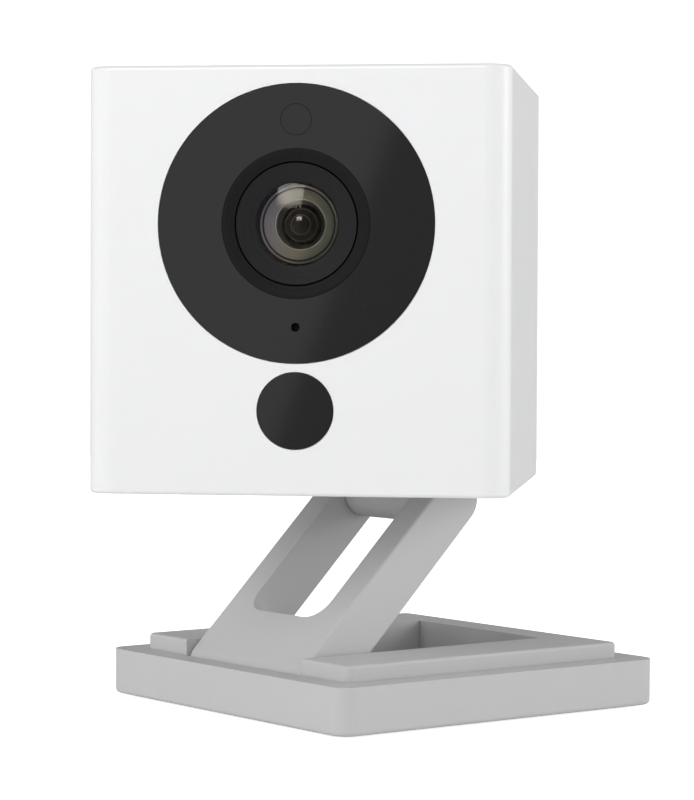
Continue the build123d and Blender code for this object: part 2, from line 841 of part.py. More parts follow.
with BuildPart() as lens_holder:
    with BuildSketch(lens_face(sensor_plane)):
        Rectangle(holder_side, holder_side)
    extrude(amount=sensor_plane - holder_front)
    with BuildSketch(lens_face(sensor_plane)):
        Rectangle(foot_width, holder_side)
        with GridLocations(2 * holder_screw_place, 0, 2, 1):
            Circle(post_hole, mode=Mode.SUBTRACT)
    extrude(amount=foot_thickness)
    with BuildSketch(lens_face(filter_ledge)):
        Circle(thread_radius + lens_gap)
    extrude(amount=filter_ledge - holder_front, mode=Mode.SUBTRACT)
    with BuildSketch(lens_face(sensor_plane)):
        Circle(rear_bore)
    extrude(amount=sensor_plane - holder_front, mode=Mode.SUBTRACT)
    with BuildSketch(lens_face(sensor_plane)):
        Rectangle(filter_side + 2 * fit_gap, filter_side + 2 * fit_gap)
    extrude(amount=sensor_plane - filter_seat, mode=Mode.SUBTRACT)
lens_holder.part.label = "lens_holder"
export_step(lens_holder.part, "parts/lens_holder.step")

with BuildPart() as ir_cut_filter:
    with BuildSketch(lens_face(filter_seat + filter_thickness)):
        Rectangle(filter_side, filter_side)
    extrude(amount=filter_thickness)
ir_cut_filter.part.label = "ir_cut_filter"
export_step(ir_cut_filter.part, "parts/ir_cut_filter.step")

# ================================================================ boards behind the front
with BuildPart() as image_sensor:
    with BuildSketch(lens_face(sensor_plane)):
        Rectangle(sensor_width, sensor_height)
    extrude(amount=sensor_thickness)
image_sensor.part.label = "image_sensor"
export_step(image_sensor.part, "parts/image_sensor.step")

sensor_board_back = sensor_plane + board_thickness
with BuildPart() as sensor_board:
    with BuildSketch(lens_face(sensor_board_back)):
        RectangleRounded(sensor_board_side, sensor_board_side, board_corner)
        with GridLocations(sensor_post_spacing, sensor_post_spacing, 2, 2):
            Circle(post_hole + fit_gap, mode=Mode.SUBTRACT)
        with GridLocations(2 * holder_screw_place, 0, 2, 1):
            Circle(post_hole + fit_gap, mode=Mode.SUBTRACT)
    extrude(amount=board_thickness)
sensor_board.part.label = "sensor_board"
export_step(sensor_board.part, "parts/sensor_board.step")

lamp_board_front = front_wall + lamp_board_gap
with BuildPart() as lamp_board:
    with BuildSketch(lens_face(lamp_board_front + board_thickness)):
        Circle(window_opening + window_ledge - fit_gap)
        Circle(hood_radius + hood_flange + 3 * fit_gap, mode=Mode.SUBTRACT)
    extrude(amount=board_thickness)
lamp_board.part.label = "lamp_board"
export_step(lamp_board.part, "parts/lamp_board.step")

with BuildPart() as infrared_lamps:
    with BuildSketch(lens_face(lamp_board_front)):
        with PolarLocations(lamp_circle, 3, start_angle=lamp_start, angular_range=lamp_span):
            Circle(lamp_radius)
        with PolarLocations(lamp_circle, 3, start_angle=180 + lamp_start, angular_range=lamp_span):
            Circle(lamp_radius)
    extrude(amount=lamp_height)
infrared_lamps.part.label = "infrared_lamps"
export_step(infrared_lamps.part, "parts/infrared_lamps.step")

with BuildPart() as microphone:
    with BuildSketch(facing(lamp_board_front, lens_height - microphone_below)):
        Circle(microphone_radius)
    extrude(amount=microphone_height)
microphone.part.label = "microphone"
export_step(microphone.part, "parts/microphone.step")

with BuildPart() as microphone_boot:
    boot_back = lamp_board_front - microphone_height
    with BuildSketch(facing(boot_back, lens_height - microphone_below)):
        Circle(microphone_radius)
        Circle(microphone_hole, mode=Mode.SUBTRACT)
    extrude(amount=boot_back - window_back)
microphone_boot.part.label = "microphone_boot"
export_step(microphone_boot.part, "parts/microphone_boot.step")

small_board_front = front_wall + small_board_gap
with BuildPart() as light_sensor_board:
    with BuildSketch(facing(small_board_front + board_thickness, small_window_height)):
        RectangleRounded(small_board_width, small_board_height, board_corner)
        with GridLocations(2 * small_board_post_place, 0, 2, 1):
            Circle(post_hole + fit_gap, mode=Mode.SUBTRACT)
    extrude(amount=board_thickness)
light_sensor_board.part.label = "light_sensor_board"
export_step(light_sensor_board.part, "parts/light_sensor_board.step")

with BuildPart() as light_sensor:
    with BuildSketch(facing(small_board_front, small_window_height)):
        Rectangle(light_sensor_width, light_sensor_height)
    extrude(amount=light_sensor_thickness)
light_sensor.part.label = "light_sensor"
export_step(light_sensor.part, "parts/light_sensor.step")

# ================================================================ setup button
switch_bottom = button_board_height - switch_height
stem_top = switch_bottom - button_travel
with BuildPart() as setup_button:
    with BuildSketch(head_level(recess_depth - button_proud)):
        with Locations((button_place, -button_place)):
            Circle(button_radius)
    extrude(amount=button_proud + ceiling_thickness + flange_gap)
    with BuildSketch(head_level(cavity_low + flange_gap)):
        with Locations((button_place, -button_place)):
            Circle(flange_radius)
    extrude(amount=flange_thickness)
    with BuildSketch(head_level(cavity_low + flange_gap)):
        with Locations((button_place, -button_place)):
            Circle(stem_radius)
    extrude(amount=stem_top - cavity_low - flange_gap)
setup_button.part.label = "setup_button"
export_step(setup_button.part, "parts/setup_button.step")

with BuildPart() as button_switch:
    with BuildSketch(head_level(switch_bottom + 2 * fit_gap)):
        with Locations((button_place, -button_place)):
            Rectangle(switch_side, switch_side)
    extrude(amount=switch_height - 2 * fit_gap)
button_switch.part.label = "button_switch"
export_step(button_switch.part, "parts/button_switch.step")

with BuildPart() as button_board:
    with BuildSketch(head_level(button_board_height)):
        with Locations((button_place, -button_place)):
            RectangleRounded(button_board_side, button_board_side, board_corner)
        with Locations(*button_posts):
            Circle(post_hole + fit_gap, mode=Mode.SUBTRACT)
    extrude(amount=board_thickness)
button_board.part.label = "button_board"
export_step(button_board.part, "parts/button_board.step")

# ================================================================ rear cover and what it carries
cover_width = side - 2 * rear_border - 2 * fit_gap
cover_low = cavity_low + fit_gap
cover_high = opening_high - fit_gap
upper_boss_z = main_board_top - boss_inset
board_bosses = (
    (lower_boss_x, lower_boss_z),
    (-lower_boss_x, lower_boss_z),
    (upper_boss_x, upper_boss_z),
    (-upper_boss_x, upper_boss_z),
)
with BuildPart() as rear_cover:
    with BuildSketch(facing(side, (cover_low + cover_high) / 2)):
        Rectangle(cover_width, cover_high - cover_low)
    extrude(amount=rear_cover_thickness)
    fillet(rear_cover.faces().sort_by(Axis.Y)[-1].edges(), head_edge / 2)
    # bosses of the main board, and the ring round the speaker
    with BuildSketch(facing(rear_cover_front)):
        with Locations(*board_bosses):
            Circle(board_boss_radius)
            Circle(post_hole, mode=Mode.SUBTRACT)
    extrude(amount=main_board_stand)
    with BuildSketch(facing(rear_cover_front, speaker_height)):
        Circle(speaker_radius + window_gap + speaker_ring_wall)
        Circle(speaker_radius + window_gap, mode=Mode.SUBTRACT)
    extrude(amount=speaker_ring_depth)
    # lugs that the two case screws pull down
    with BuildSketch(head_level(cover_low)):
        lug_back = side / 2 - rear_cover_thickness
        lug_front = case_screw_place - lug_side / 2
        for across_x in (case_screw_place, -case_screw_place):
            with Locations((across_x, (lug_front + lug_back) / 2)):
                Rectangle(lug_side, lug_back - lug_front)
    extrude(amount=lug_height)
    with BuildSketch(head_level(cover_low)):
        with Locations(*case_places):
            Circle(case_screw_radius)
    extrude(amount=lug_height - lug_roof, mode=Mode.SUBTRACT)
    # sound holes, in rings
    with BuildSketch(facing(side, speaker_height)):
        Circle(grille_hole)
        for ring in (1, 2, 3):
            with PolarLocations(ring * grille_pitch, 6 * ring):
                Circle(grille_hole)
    extrude(amount=rear_cover_thickness, mode=Mode.SUBTRACT)
    # ports and light pipe
    with BuildSketch(facing(side)):
        with Locations(usb_place):
            Rectangle(usb_width + 2 * port_gap, usb_height + 2 * port_gap)
        with Locations(power_place):
            RectangleRounded(
                power_width + 2 * port_gap, power_height + 2 * port_gap, power_corner + port_gap
            )
        with Locations((0, light_pipe_height)):
            Circle(light_pipe_radius + lens_gap)
    extrude(amount=rear_cover_thickness, mode=Mode.SUBTRACT)
rear_cover.part.label = "rear_cover"
export_step(rear_cover.part, "parts/rear_cover.step")

with BuildPart() as case_screws:
    case_head_low = recess_depth + case_screw_radius
    with BuildSketch(head_level(case_head_low)):
        with Locations(*case_places):
            Circle(2 * case_screw_radius)
    extrude(amount=case_screw_radius)
    with BuildSketch(head_level(case_head_low + case_screw_radius)):
        with Locations(*case_places):
            Circle(case_screw_radius)
    extrude(amount=cover_low + lug_height - lug_roof - case_end_gap - case_head_low - case_screw_radius)
case_screws.part.label = "case_screws"
export_step(case_screws.part, "parts/case_screws.step")

main_board_front = main_board_back - main_board_thickness
tongue_width = 2 * (lower_boss_x + tongue_margin)
tongue_low = cavity_low + tongue_clearance
shoulder_low = cavity_low + lug_height + shoulder_clearance
board_width = cover_width - 2 * board_side_gap
with BuildPart() as main_board:
    with BuildSketch(facing(main_board_back)):
        with Locations((0, (shoulder_low + main_board_top) / 2)):
            Rectangle(board_width, main_board_top - shoulder_low)
        with Locations((0, (tongue_low + shoulder_low) / 2)):
            Rectangle(tongue_width, shoulder_low - tongue_low)
        with Locations(usb_place):
            Rectangle(usb_width + 2 * fit_gap, usb_height + 2 * fit_gap, mode=Mode.SUBTRACT)
        with Locations(*board_bosses):
            Circle(post_hole + fit_gap, mode=Mode.SUBTRACT)
    extrude(amount=main_board_thickness)
main_board.part.label = "main_board"
export_step(main_board.part, "parts/main_board.step")

with BuildPart() as processor:
    with BuildSketch(facing(main_board_front, chip_height)):
        Rectangle(chip_side, chip_side)
    extrude(amount=chip_thickness)
processor.part.label = "processor"
export_step(processor.part, "parts/processor.step")

with BuildPart() as thermal_pad:
    with BuildSketch(facing(main_board_front - chip_thickness, chip_height)):
        Rectangle(chip_side, chip_side)
    extrude(amount=pad_height)
thermal_pad.part.label = "thermal_pad"
export_step(thermal_pad.part, "parts/thermal_pad.step")

with BuildPart() as heat_spreader:
    with BuildSketch(facing(main_board_front - chip_thickness - pad_height, chip_height)):
        RectangleRounded(spreader_side, spreader_side, board_corner)
    extrude(amount=spreader_thickness)
heat_spreader.part.label = "heat_spreader"
export_step(heat_spreader.part, "parts/heat_spreader.step")

shield_place = (upper_boss_z + shoulder_low) / 2 + shield_rise
with BuildPart() as radio_shield:
    with BuildSketch(facing(main_board_front, shield_place, -shield_across)):
        RectangleRounded(shield_width, shield_height, shield_corner)
    extrude(amount=shield_depth)
    with BuildSketch(facing(main_board_front, shield_place, -shield_across)):
        Rectangle(shield_width - 2 * shield_sheet, shield_height - 2 * shield_sheet)
    extrude(amount=shield_depth - shield_sheet, mode=Mode.SUBTRACT)
radio_shield.part.label = "radio_shield"
export_step(radio_shield.part, "parts/radio_shield.step")

with BuildPart() as antenna:
    antenna_place = (antenna_thickness - cavity_width) / 2 + fit_gap
    with BuildSketch(facing(side - antenna_behind, head_height - antenna_below, antenna_place)):
        Rectangle(antenna_thickness, antenna_width)
    extrude(amount=antenna_length)
antenna.part.label = "antenna"
export_step(antenna.part, "parts/antenna.step")

with BuildPart() as card_socket:
    card_low = cavity_low + card_clearance
    card_high = card_low + card_body_height
    with BuildSketch(facing(main_board_back + card_thickness, (card_low + card_high) / 2)):
        Rectangle(card_body_width, card_body_height)
    extrude(amount=card_thickness)
    with BuildSketch(head_level(card_low)):
        with Locations((0, card_place)):
            Rectangle(card_width, card_slot)
    extrude(amount=card_slot_depth, mode=Mode.SUBTRACT)
card_socket.part.label = "card_socket"
export_step(card_socket.part, "parts/card_socket.step")

with BuildPart() as usb_socket:
    port_back = side - window_sunk
    with BuildSketch(facing(port_back)):
        with Locations(usb_place):
            Rectangle(usb_width, usb_height)
    extrude(amount=usb_depth)
    with BuildSketch(facing(port_back)):
        with Locations(usb_place):
            Rectangle(usb_width - 2 * metal, usb_height - 2 * metal)
    extrude(amount=usb_depth - metal, mode=Mode.SUBTRACT)
usb_socket.part.label = "usb_socket"
export_step(usb_socket.part, "parts/usb_socket.step")

with BuildPart() as power_socket:
    with BuildSketch(facing(port_back)):
        with Locations(power_place):
            RectangleRounded(power_width, power_height, power_corner)
    extrude(amount=port_back - main_board_back)
    with BuildSketch(facing(port_back)):
        with Locations(power_place):
            RectangleRounded(power_width - 2 * metal, power_height - 2 * metal, power_corner - metal)
    extrude(amount=port_back - main_board_back - metal, mode=Mode.SUBTRACT)
power_socket.part.label = "power_socket"
export_step(power_socket.part, "parts/power_socket.step")

with BuildPart() as port_tongues:
    block_front = port_back - usb_depth + metal
    with BuildSketch(facing(block_front + usb_block)):
        with Locations(usb_place):
            Rectangle(usb_width - 2 * metal, usb_height - 2 * metal)
    extrude(amount=usb_block)
    with BuildSketch(facing(port_back - tongue_sunk)):
        with Locations((usb_place[0], usb_place[1] + usb_tongue_above)):
            Rectangle(usb_tongue_width, usb_tongue_thickness)
    extrude(amount=usb_depth - metal - tongue_sunk)
    with BuildSketch(facing(port_back - tongue_sunk)):
        with Locations(power_place):
            Rectangle(power_tongue_width, power_tongue_thickness)
    extrude(amount=port_back - tongue_sunk - main_board_back - metal)
port_tongues.part.label = "port_tongues"
export_step(port_tongues.part, "parts/port_tongues.step")

pipe_front = main_board_back + lamp_thickness + 2 * fit_gap
with BuildPart() as status_light_pipe:
    with BuildSketch(facing(port_back, light_pipe_height)):
        Circle(light_pipe_radius)
    extrude(amount=port_back - pipe_front)
status_light_pipe.part.label = "status_light_pipe"
export_step(status_light_pipe.part, "parts/status_light_pipe.step")

with BuildPart() as speaker_gasket:
    with BuildSketch(facing(rear_cover_front, speaker_height)):
        Circle(speaker_radius)
        Circle(speaker_radius - gasket_width, mode=Mode.SUBTRACT)
    extrude(amount=gasket_thickness)
speaker_gasket.part.label = "speaker_gasket"
export_step(speaker_gasket.part, "parts/speaker_gasket.step")

with BuildPart() as speaker:
    speaker_back = rear_cover_front - gasket_thickness
    with BuildSketch(facing(speaker_back, speaker_height)):
        Circle(speaker_radius)
    extrude(amount=speaker_frame_depth)
    with BuildSketch(facing(speaker_back, speaker_height)):
        Circle(speaker_magnet_radius)
    extrude(amount=speaker_depth)
    # cone
    with BuildSketch(facing(speaker_back, speaker_height)):
        Circle(speaker_radius - speaker_rim)
    extrude(amount=cone_depth, mode=Mode.SUBTRACT)
speaker.part.label = "speaker"
export_step(speaker.part, "parts/speaker.step")

with BuildPart() as status_lamps:
    with BuildSketch(facing(lamp_board_front, lens_height + indicator_above)):
        Rectangle(status_lamp_width, status_lamp_height)
    extrude(amount=lamp_thickness)
    with BuildSketch(facing(main_board_back + lamp_thickness, light_pipe_height)):
        Rectangle(status_lamp_width, status_lamp_height)
    extrude(amount=lamp_thickness)
status_lamps.part.label = "status_lamps"
export_step(status_lamps.part, "parts/status_lamps.step")

# ================================================================ screws of the boards


def pan_screws(plane, places, thickness, length):
    """Pan head screws: the plane is the face under the heads, and it looks away from them."""
    with BuildPart() as screws:
        with BuildSketch(plane):
            with Locations(*places):
                Circle(post_hole)
        extrude(amount=thickness + length)
        with BuildSketch(plane):
            with Locations(*places):
                Circle(screw_head_radius)
        extrude(amount=-screw_head)
    return screws.part


half_post_spacing = sensor_post_spacing / 2
sensor_post_places = tuple(
    (across_x, up_z)
    for across_x in (-half_post_spacing, half_post_spacing)
    for up_z in (-half_post_spacing, half_post_spacing)
)
holder_places = ((-holder_screw_place, 0), (holder_screw_place, 0))
small_board_places = ((-small_board_post_place, 0), (small_board_post_place, 0))
small_board_back = small_board_front + board_thickness
under_button_heads = Plane(
    origin=(head_x, head_y, head_bottom + button_board_height + board_thickness),
    x_dir=(1, 0, 0),
    z_dir=(0, 0, -1),
)
board_boss_mirror = tuple((-across_x, up_z) for across_x, up_z in board_bosses)
under_main_heads = Plane(
    origin=(head_x, head_y - side / 2 + main_board_front, head_bottom),
    x_dir=(-1, 0, 0),
    z_dir=(0, 1, 0),
)
screw_sets = (
    pan_screws(lens_face(sensor_board_back), sensor_post_places, board_thickness, screw_length),
    pan_screws(
        lens_face(sensor_board_back), holder_places, board_thickness, foot_thickness - fit_gap
    ),
    pan_screws(
        facing(small_board_back, small_window_height),
        small_board_places,
        board_thickness,
        small_board_gap - fit_gap,
    ),
    pan_screws(
        under_button_heads,
        tuple((across_x, -back_y) for across_x, back_y in button_posts),
        board_thickness,
        screw_length,
    ),
    pan_screws(under_main_heads, board_boss_mirror, main_board_thickness, screw_length),
)
with BuildPart() as board_screws:
    for screw_set in screw_sets:
        add(screw_set)
board_screws.part.label = "board_screws"
export_step(board_screws.part, "parts/board_screws.step")

# ================================================================ ribbon between the two boards
ribbon_high = lens_height - ribbon_below_lens
ribbon_low = cavity_low + ribbon_above_floor
with BuildPart() as ribbon_connectors:
    with BuildSketch(facing(sensor_board_back + connector_depth, ribbon_high)):
        Rectangle(connector_width, connector_height)
    extrude(amount=connector_depth)
    with BuildSketch(facing(main_board_front, ribbon_low)):
        Rectangle(connector_width, connector_height)
    extrude(amount=connector_depth)
ribbon_connectors.part.label = "ribbon_connectors"
export_step(ribbon_connectors.part, "parts/ribbon_connectors.step")

ribbon_start = sensor_board_back + connector_depth
ribbon_end = main_board_front - connector_depth
ribbon_turn = (ribbon_start + ribbon_end) / 2
ribbon_plane = Plane(
    origin=(head_x, head_y - side / 2, head_bottom), x_dir=(0, 1, 0), z_dir=(1, 0, 0)
)
with BuildPart() as sensor_ribbon:
    with BuildSketch(ribbon_plane):
        with BuildLine():
            FilletPolyline(
                (ribbon_start, ribbon_high),
                (ribbon_turn, ribbon_high),
                (ribbon_turn, ribbon_low),
                (ribbon_end, ribbon_low),
                radius=ribbon_bend,
            )
        trace(line_width=ribbon_thickness)
    extrude(amount=ribbon_width / 2, both=True)
sensor_ribbon.part.label = "sensor_ribbon"
export_step(sensor_ribbon.part, "parts/sensor_ribbon.step")
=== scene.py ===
"""Looks of the cube security camera: its finishes, the lens glass and the studio.

Everything is in metres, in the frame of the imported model, and every place comes from its boxes.
"""

from math import pi, radians, tau

import bpy
import numpy as np
from mathutils import Matrix, Vector


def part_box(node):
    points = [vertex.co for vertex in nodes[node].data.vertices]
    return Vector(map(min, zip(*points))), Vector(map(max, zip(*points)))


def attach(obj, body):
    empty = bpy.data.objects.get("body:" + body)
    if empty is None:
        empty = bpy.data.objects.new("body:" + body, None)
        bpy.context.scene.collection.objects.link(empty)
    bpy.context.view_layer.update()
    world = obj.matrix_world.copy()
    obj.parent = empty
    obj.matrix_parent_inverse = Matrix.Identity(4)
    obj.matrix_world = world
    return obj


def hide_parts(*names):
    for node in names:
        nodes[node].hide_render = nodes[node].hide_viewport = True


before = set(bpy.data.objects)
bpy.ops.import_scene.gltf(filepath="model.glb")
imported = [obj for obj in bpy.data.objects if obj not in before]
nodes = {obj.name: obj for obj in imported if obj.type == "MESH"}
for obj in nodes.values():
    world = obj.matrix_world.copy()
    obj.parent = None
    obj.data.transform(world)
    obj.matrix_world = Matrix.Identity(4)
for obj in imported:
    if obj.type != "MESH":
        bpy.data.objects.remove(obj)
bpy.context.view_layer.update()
scene = bpy.context.scene
MM = 0.001

window_low, window_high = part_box("front_window")
lens_centre = (window_low + window_high) / 2       # a point on the axis of the lens


# ================================================================ camera
CAMERA_PLACE = Vector((44.7, -358.9, 49.8)) * MM
CAMERA_HEADING = 7.79          # degrees from +Y towards -X
CAMERA_DOWN = 1.78             # degrees below level
CAMERA_ROLL = 0.25             # degrees
CAMERA_LENS = 127.1            # focal length in mm
CAMERA_SENSOR = 36.0           # width in mm
CAMERA_NEAREST = 0.01

camera = bpy.data.objects.new("camera", bpy.data.cameras.new("camera"))
scene.collection.objects.link(camera)
camera.data.lens = CAMERA_LENS
camera.data.sensor_width = CAMERA_SENSOR
camera.data.clip_start = CAMERA_NEAREST
camera.matrix_world = (
    Matrix.Translation(CAMERA_PLACE)
    @ Matrix.Rotation(radians(CAMERA_HEADING), 4, "Z")
    @ Matrix.Rotation(radians(90 - CAMERA_DOWN), 4, "X")
    @ Matrix.Rotation(radians(CAMERA_ROLL), 4, "Z")
)
scene.camera = camera
scene.view_settings.view_transform = "Standard"


# ================================================================ helpers for node trees
VALUE = "NodeSocketFloat"
COLOUR = "NodeSocketColor"
VECTOR = "NodeSocketVector"


def grey(level, opacity=1.0):
    """A neutral colour."""
    return (level, level, level, opacity)


def darker(colour, share):
    """A colour scaled down, with its opacity kept."""
    return tuple(channel * share for channel in colour[:3]) + (colour[3],)


class Tree:
    """A node tree that is built by naming nodes and what feeds them."""

    def __init__(self, tree):
        self.tree = tree
        tree.nodes.clear()

    def node(self, kind, settings=None, **inputs):
        """Add a node. Settings are its own properties; inputs are values or other sockets."""
        made = self.tree.nodes.new(kind)
        for name, value in (settings or {}).items():
            setattr(made, name, value)
        for name, value in inputs.items():
            self.feed(made.inputs[name.replace("_", " ")], value)
        return made

    def feed(self, socket, value):
        """Set a socket to a constant, or link another socket to it."""
        if isinstance(value, bpy.types.NodeSocket):
            self.tree.links.new(value, socket)
        else:
            socket.default_value = value

    def maths(self, operation, first, second=0.0):
        """One arithmetic step."""
        made = self.tree.nodes.new("ShaderNodeMath")
        made.operation = operation
        self.feed(made.inputs[0], first)
        self.feed(made.inputs[1], second)
        return made.outputs[0]

    def vector_maths(self, operation, first, second=None):
        """One step on vectors, which gives the node."""
        made = self.tree.nodes.new("ShaderNodeVectorMath")
        made.operation = operation
        self.feed(made.inputs[0], first)
        if second is not None:
            self.feed(made.inputs[1], second)
        return made

    def spread(self, value, low, high, to_low=0.0, to_high=1.0, smooth=False):
        """Map a value from one range to another, held at the ends."""
        made = self.tree.nodes.new("ShaderNodeMapRange")
        made.interpolation_type = "SMOOTHSTEP" if smooth else "LINEAR"
        for socket, number in zip(made.inputs, (value, low, high, to_low, to_high)):
            self.feed(socket, number)
        return made.outputs[0]

    def blend(self, factor, first, second, way="MIX"):
        """Mix two colours."""
        made = self.tree.nodes.new("ShaderNodeMix")
        made.data_type = "RGBA"
        made.blend_type = way
        self.feed(made.inputs[0], factor)
        self.feed(made.inputs[6], first)
        self.feed(made.inputs[7], second)
        return made.outputs[2]

    def either(self, choice, chosen, other):
        """The first value where the choice is 1, the other where it is 0."""
        kept = self.maths("MULTIPLY", choice, chosen)
        return self.maths("ADD", kept, self.maths("MULTIPLY", self.maths("SUBTRACT", 1.0, choice), other))

    def ramp(self, value, stops):
        """A colour ramp with the given stops, each a position and a colour, in order."""
        made = self.node("ShaderNodeValToRGB", Fac=value)
        bands = made.color_ramp.elements
        bands[0].position, bands[0].color = stops[0]
        bands[1].position, bands[1].color = stops[-1]
        for position, colour in stops[1:-1]:
            bands.new(position).color = colour
        return made.outputs["Color"]


def new_group(name, inputs, outputs):
    """A node group. Inputs are (name, type, default or None); outputs are (name, type)."""
    group = bpy.data.node_groups.new(name, "ShaderNodeTree")
    tree = Tree(group)
    for label, kind, default in inputs:
        socket = group.interface.new_socket(label, in_out="INPUT", socket_type=kind)
        if default is not None:
            socket.default_value = default
    for label, kind in outputs:
        group.interface.new_socket(label, in_out="OUTPUT", socket_type=kind)
    source = group.nodes.new("NodeGroupInput")
    sink = group.nodes.new("NodeGroupOutput")
    return group, tree, source.outputs, sink.inputs


def new_material(name):
    """A material with a Principled shader, its output and the object coordinates."""
    material = bpy.data.materials.new(name)
    material.use_nodes = True
    tree = Tree(material.node_tree)
    shader = tree.node("ShaderNodeBsdfPrincipled")
    output = tree.node("ShaderNodeOutputMaterial")
    tree.feed(output.inputs["Surface"], shader.outputs["BSDF"])
    place = tree.node("ShaderNodeTexCoord")
    return material, tree, shader, place.outputs["Object"]


def use_group(tree, group, **inputs):
    """Place a node group in a material and feed it."""
    made = tree.node("ShaderNodeGroup", {"node_tree": group})
    for name, value in inputs.items():
        tree.feed(made.inputs[name.replace("_", " ")], value)
    return made.outputs


# ================================================================ effects that finishes share
SWELL_PER_M = 90.0
SWELL_HEIGHT = 0.04 * MM
SWELL_STRENGTH = 0.25
GRAIN_HEIGHT = 0.02 * MM
GRAIN_DETAIL = 4.0
GRAIN_BITE = 0.55
FLOW_PER_M = 38.0
FLOW_SWIRL = 1.2


def moulded_skin():
    """Skin of a moulded plastic: a fine spark-eroded grain, a slow swell and soft flow marks."""
    group, tree, given, result = new_group(
        "moulded skin",
        [("Vector", VECTOR, None), ("Grain per m", VALUE, 5200.0), ("Grain depth", VALUE, 0.2)],
        [("Normal", VECTOR), ("Flow", VALUE)],
    )
    grain = tree.node("ShaderNodeTexNoise", Vector=given["Vector"], Scale=given["Grain per m"])
    tree.feed(grain.inputs["Detail"], GRAIN_DETAIL)
    tree.feed(grain.inputs["Roughness"], GRAIN_BITE)
    swell = tree.node("ShaderNodeTexNoise", Vector=given["Vector"], Scale=SWELL_PER_M)
    swelling = tree.node(
        "ShaderNodeBump",
        Height=swell.outputs["Fac"],
        Distance=SWELL_HEIGHT,
        Strength=SWELL_STRENGTH,
    )
    bump = tree.node(
        "ShaderNodeBump",
        Height=grain.outputs["Fac"],
        Distance=GRAIN_HEIGHT,
        Strength=given["Grain depth"],
        Normal=swelling.outputs["Normal"],
    )
    flow = tree.node("ShaderNodeTexNoise", Vector=given["Vector"], Scale=FLOW_PER_M)
    tree.feed(flow.inputs["Distortion"], FLOW_SWIRL)
    tree.feed(result["Normal"], bump.outputs["Normal"])
    tree.feed(result["Flow"], flow.outputs["Fac"])
    return group


# reach, amount and occlusion limits of the painted shade in seams and under edges
CREVICE_REACH = 0.4 * MM
CREVICE_SHADE_AMOUNT = 0.35
CREVICE_SAMPLES = 6
CREVICE_CLOSED = 0.25
CREVICE_OPEN = 0.95


def crevice_painted_shade():
    """Painted shade for seams and under edges, from ambient occlusion: 0 in the open, most in the corner.
    """
    group, tree, given, result = new_group(
        "crevice",
        [("Reach", VALUE, CREVICE_REACH), ("Amount", VALUE, CREVICE_SHADE_AMOUNT)],
        [("Mask", VALUE)],
    )
    hidden = tree.node(
        "ShaderNodeAmbientOcclusion", {"samples": CREVICE_SAMPLES}, Distance=given["Reach"]
    )
    # the occlusion becomes the mask of painted shade
    mask = tree.spread(hidden.outputs["AO"], CREVICE_CLOSED, CREVICE_OPEN, 1.0, 0.0, smooth=True)
    tree.feed(result["Mask"], tree.maths("MULTIPLY", mask, given["Amount"]))
    return group


SPECKS_PER_M = 900.0
SPECK_SIZES = (0.05, 0.12)
SPECK_PATCHES_PER_M = 260.0
SPECK_PATCHES = (0.58, 0.66)
HAIRLINE_LEAN = 32             # degrees
HAIRLINE_STRETCH = (160.0, 160.0, 7000.0)
HAIRLINE_EDGES = (0.66, 0.72)


def dust_and_hairlines():
    """Fine dust specks and faint hairline scratches of a polished face."""
    group, tree, given, result = new_group(
        "dust and hairlines",
        [("Vector", VECTOR, None)],
        [("Dust", VALUE), ("Hairlines", VALUE)],
    )
    specks = tree.node("ShaderNodeTexVoronoi", Vector=given["Vector"], Scale=SPECKS_PER_M)
    near = tree.spread(specks.outputs["Distance"], *SPECK_SIZES, 1.0, 0.0)
    where = tree.node("ShaderNodeTexNoise", Vector=given["Vector"], Scale=SPECK_PATCHES_PER_M)
    patches = tree.spread(where.outputs["Fac"], *SPECK_PATCHES)
    tree.feed(result["Dust"], tree.maths("MULTIPLY", near, patches))
    stretched = tree.node(
        "ShaderNodeMapping",
        Vector=given["Vector"],
        Rotation=(0.0, radians(HAIRLINE_LEAN), 0.0),
        Scale=HAIRLINE_STRETCH,
    )
    line = tree.node("ShaderNodeTexNoise", Vector=stretched.outputs["Vector"], Scale=1.0)
    tree.feed(result["Hairlines"], tree.spread(line.outputs["Fac"], *HAIRLINE_EDGES))
    return group


TURNING_HEIGHT = 0.01 * MM
TURNING_STRENGTH = 0.5


def turned_rings():
    """Fine turning marks round the lens axis, which runs along Y, and the distance from it.

    The radius is the length of the offset from the centre with its Y part taken out, and the
    marks are the sine of that radius times the rings per metre.
    """
    group, tree, given, result = new_group(
        "turned rings",
        [("Vector", VECTOR, None), ("Centre", VECTOR, None), ("Rings per m", VALUE, 9000.0)],
        [("Normal", VECTOR), ("Radius", VALUE), ("Ring", VALUE)],
    )
    offset = tree.vector_maths("SUBTRACT", given["Vector"], given["Centre"])
    flat = tree.vector_maths("MULTIPLY", offset.outputs[0], (1.0, 0.0, 1.0))
    radius = tree.vector_maths("LENGTH", flat.outputs[0]).outputs["Value"]
    wave = tree.maths("SINE", tree.maths("MULTIPLY", radius, given["Rings per m"]))
    bump = tree.node(
        "ShaderNodeBump", Height=wave, Distance=TURNING_HEIGHT, Strength=TURNING_STRENGTH
    )
    tree.feed(result["Normal"], bump.outputs["Normal"])
    tree.feed(result["Radius"], radius)
    tree.feed(result["Ring"], wave)
    return group


# painted reflection colours across the lens, and painted light and shade on the spacer
REFLECTION_COLOURS_REACH = 4.5 * MM
REFLECTION_COLOURS_SLANT = 0.3
REFLECTION_COLOURS_STOPS = (
    (0.0, (0.84, 0.83, 1.0, 1.0)),         # violet
    (0.3, (0.84, 0.80, 0.78, 1.0)),
    (0.6, (0.70, 0.68, 0.58, 1.0)),        # straw
    (0.78, (0.50, 0.54, 0.48, 1.0)),
    (1.0, (0.44, 0.47, 0.40, 1.0)),        # olive
)


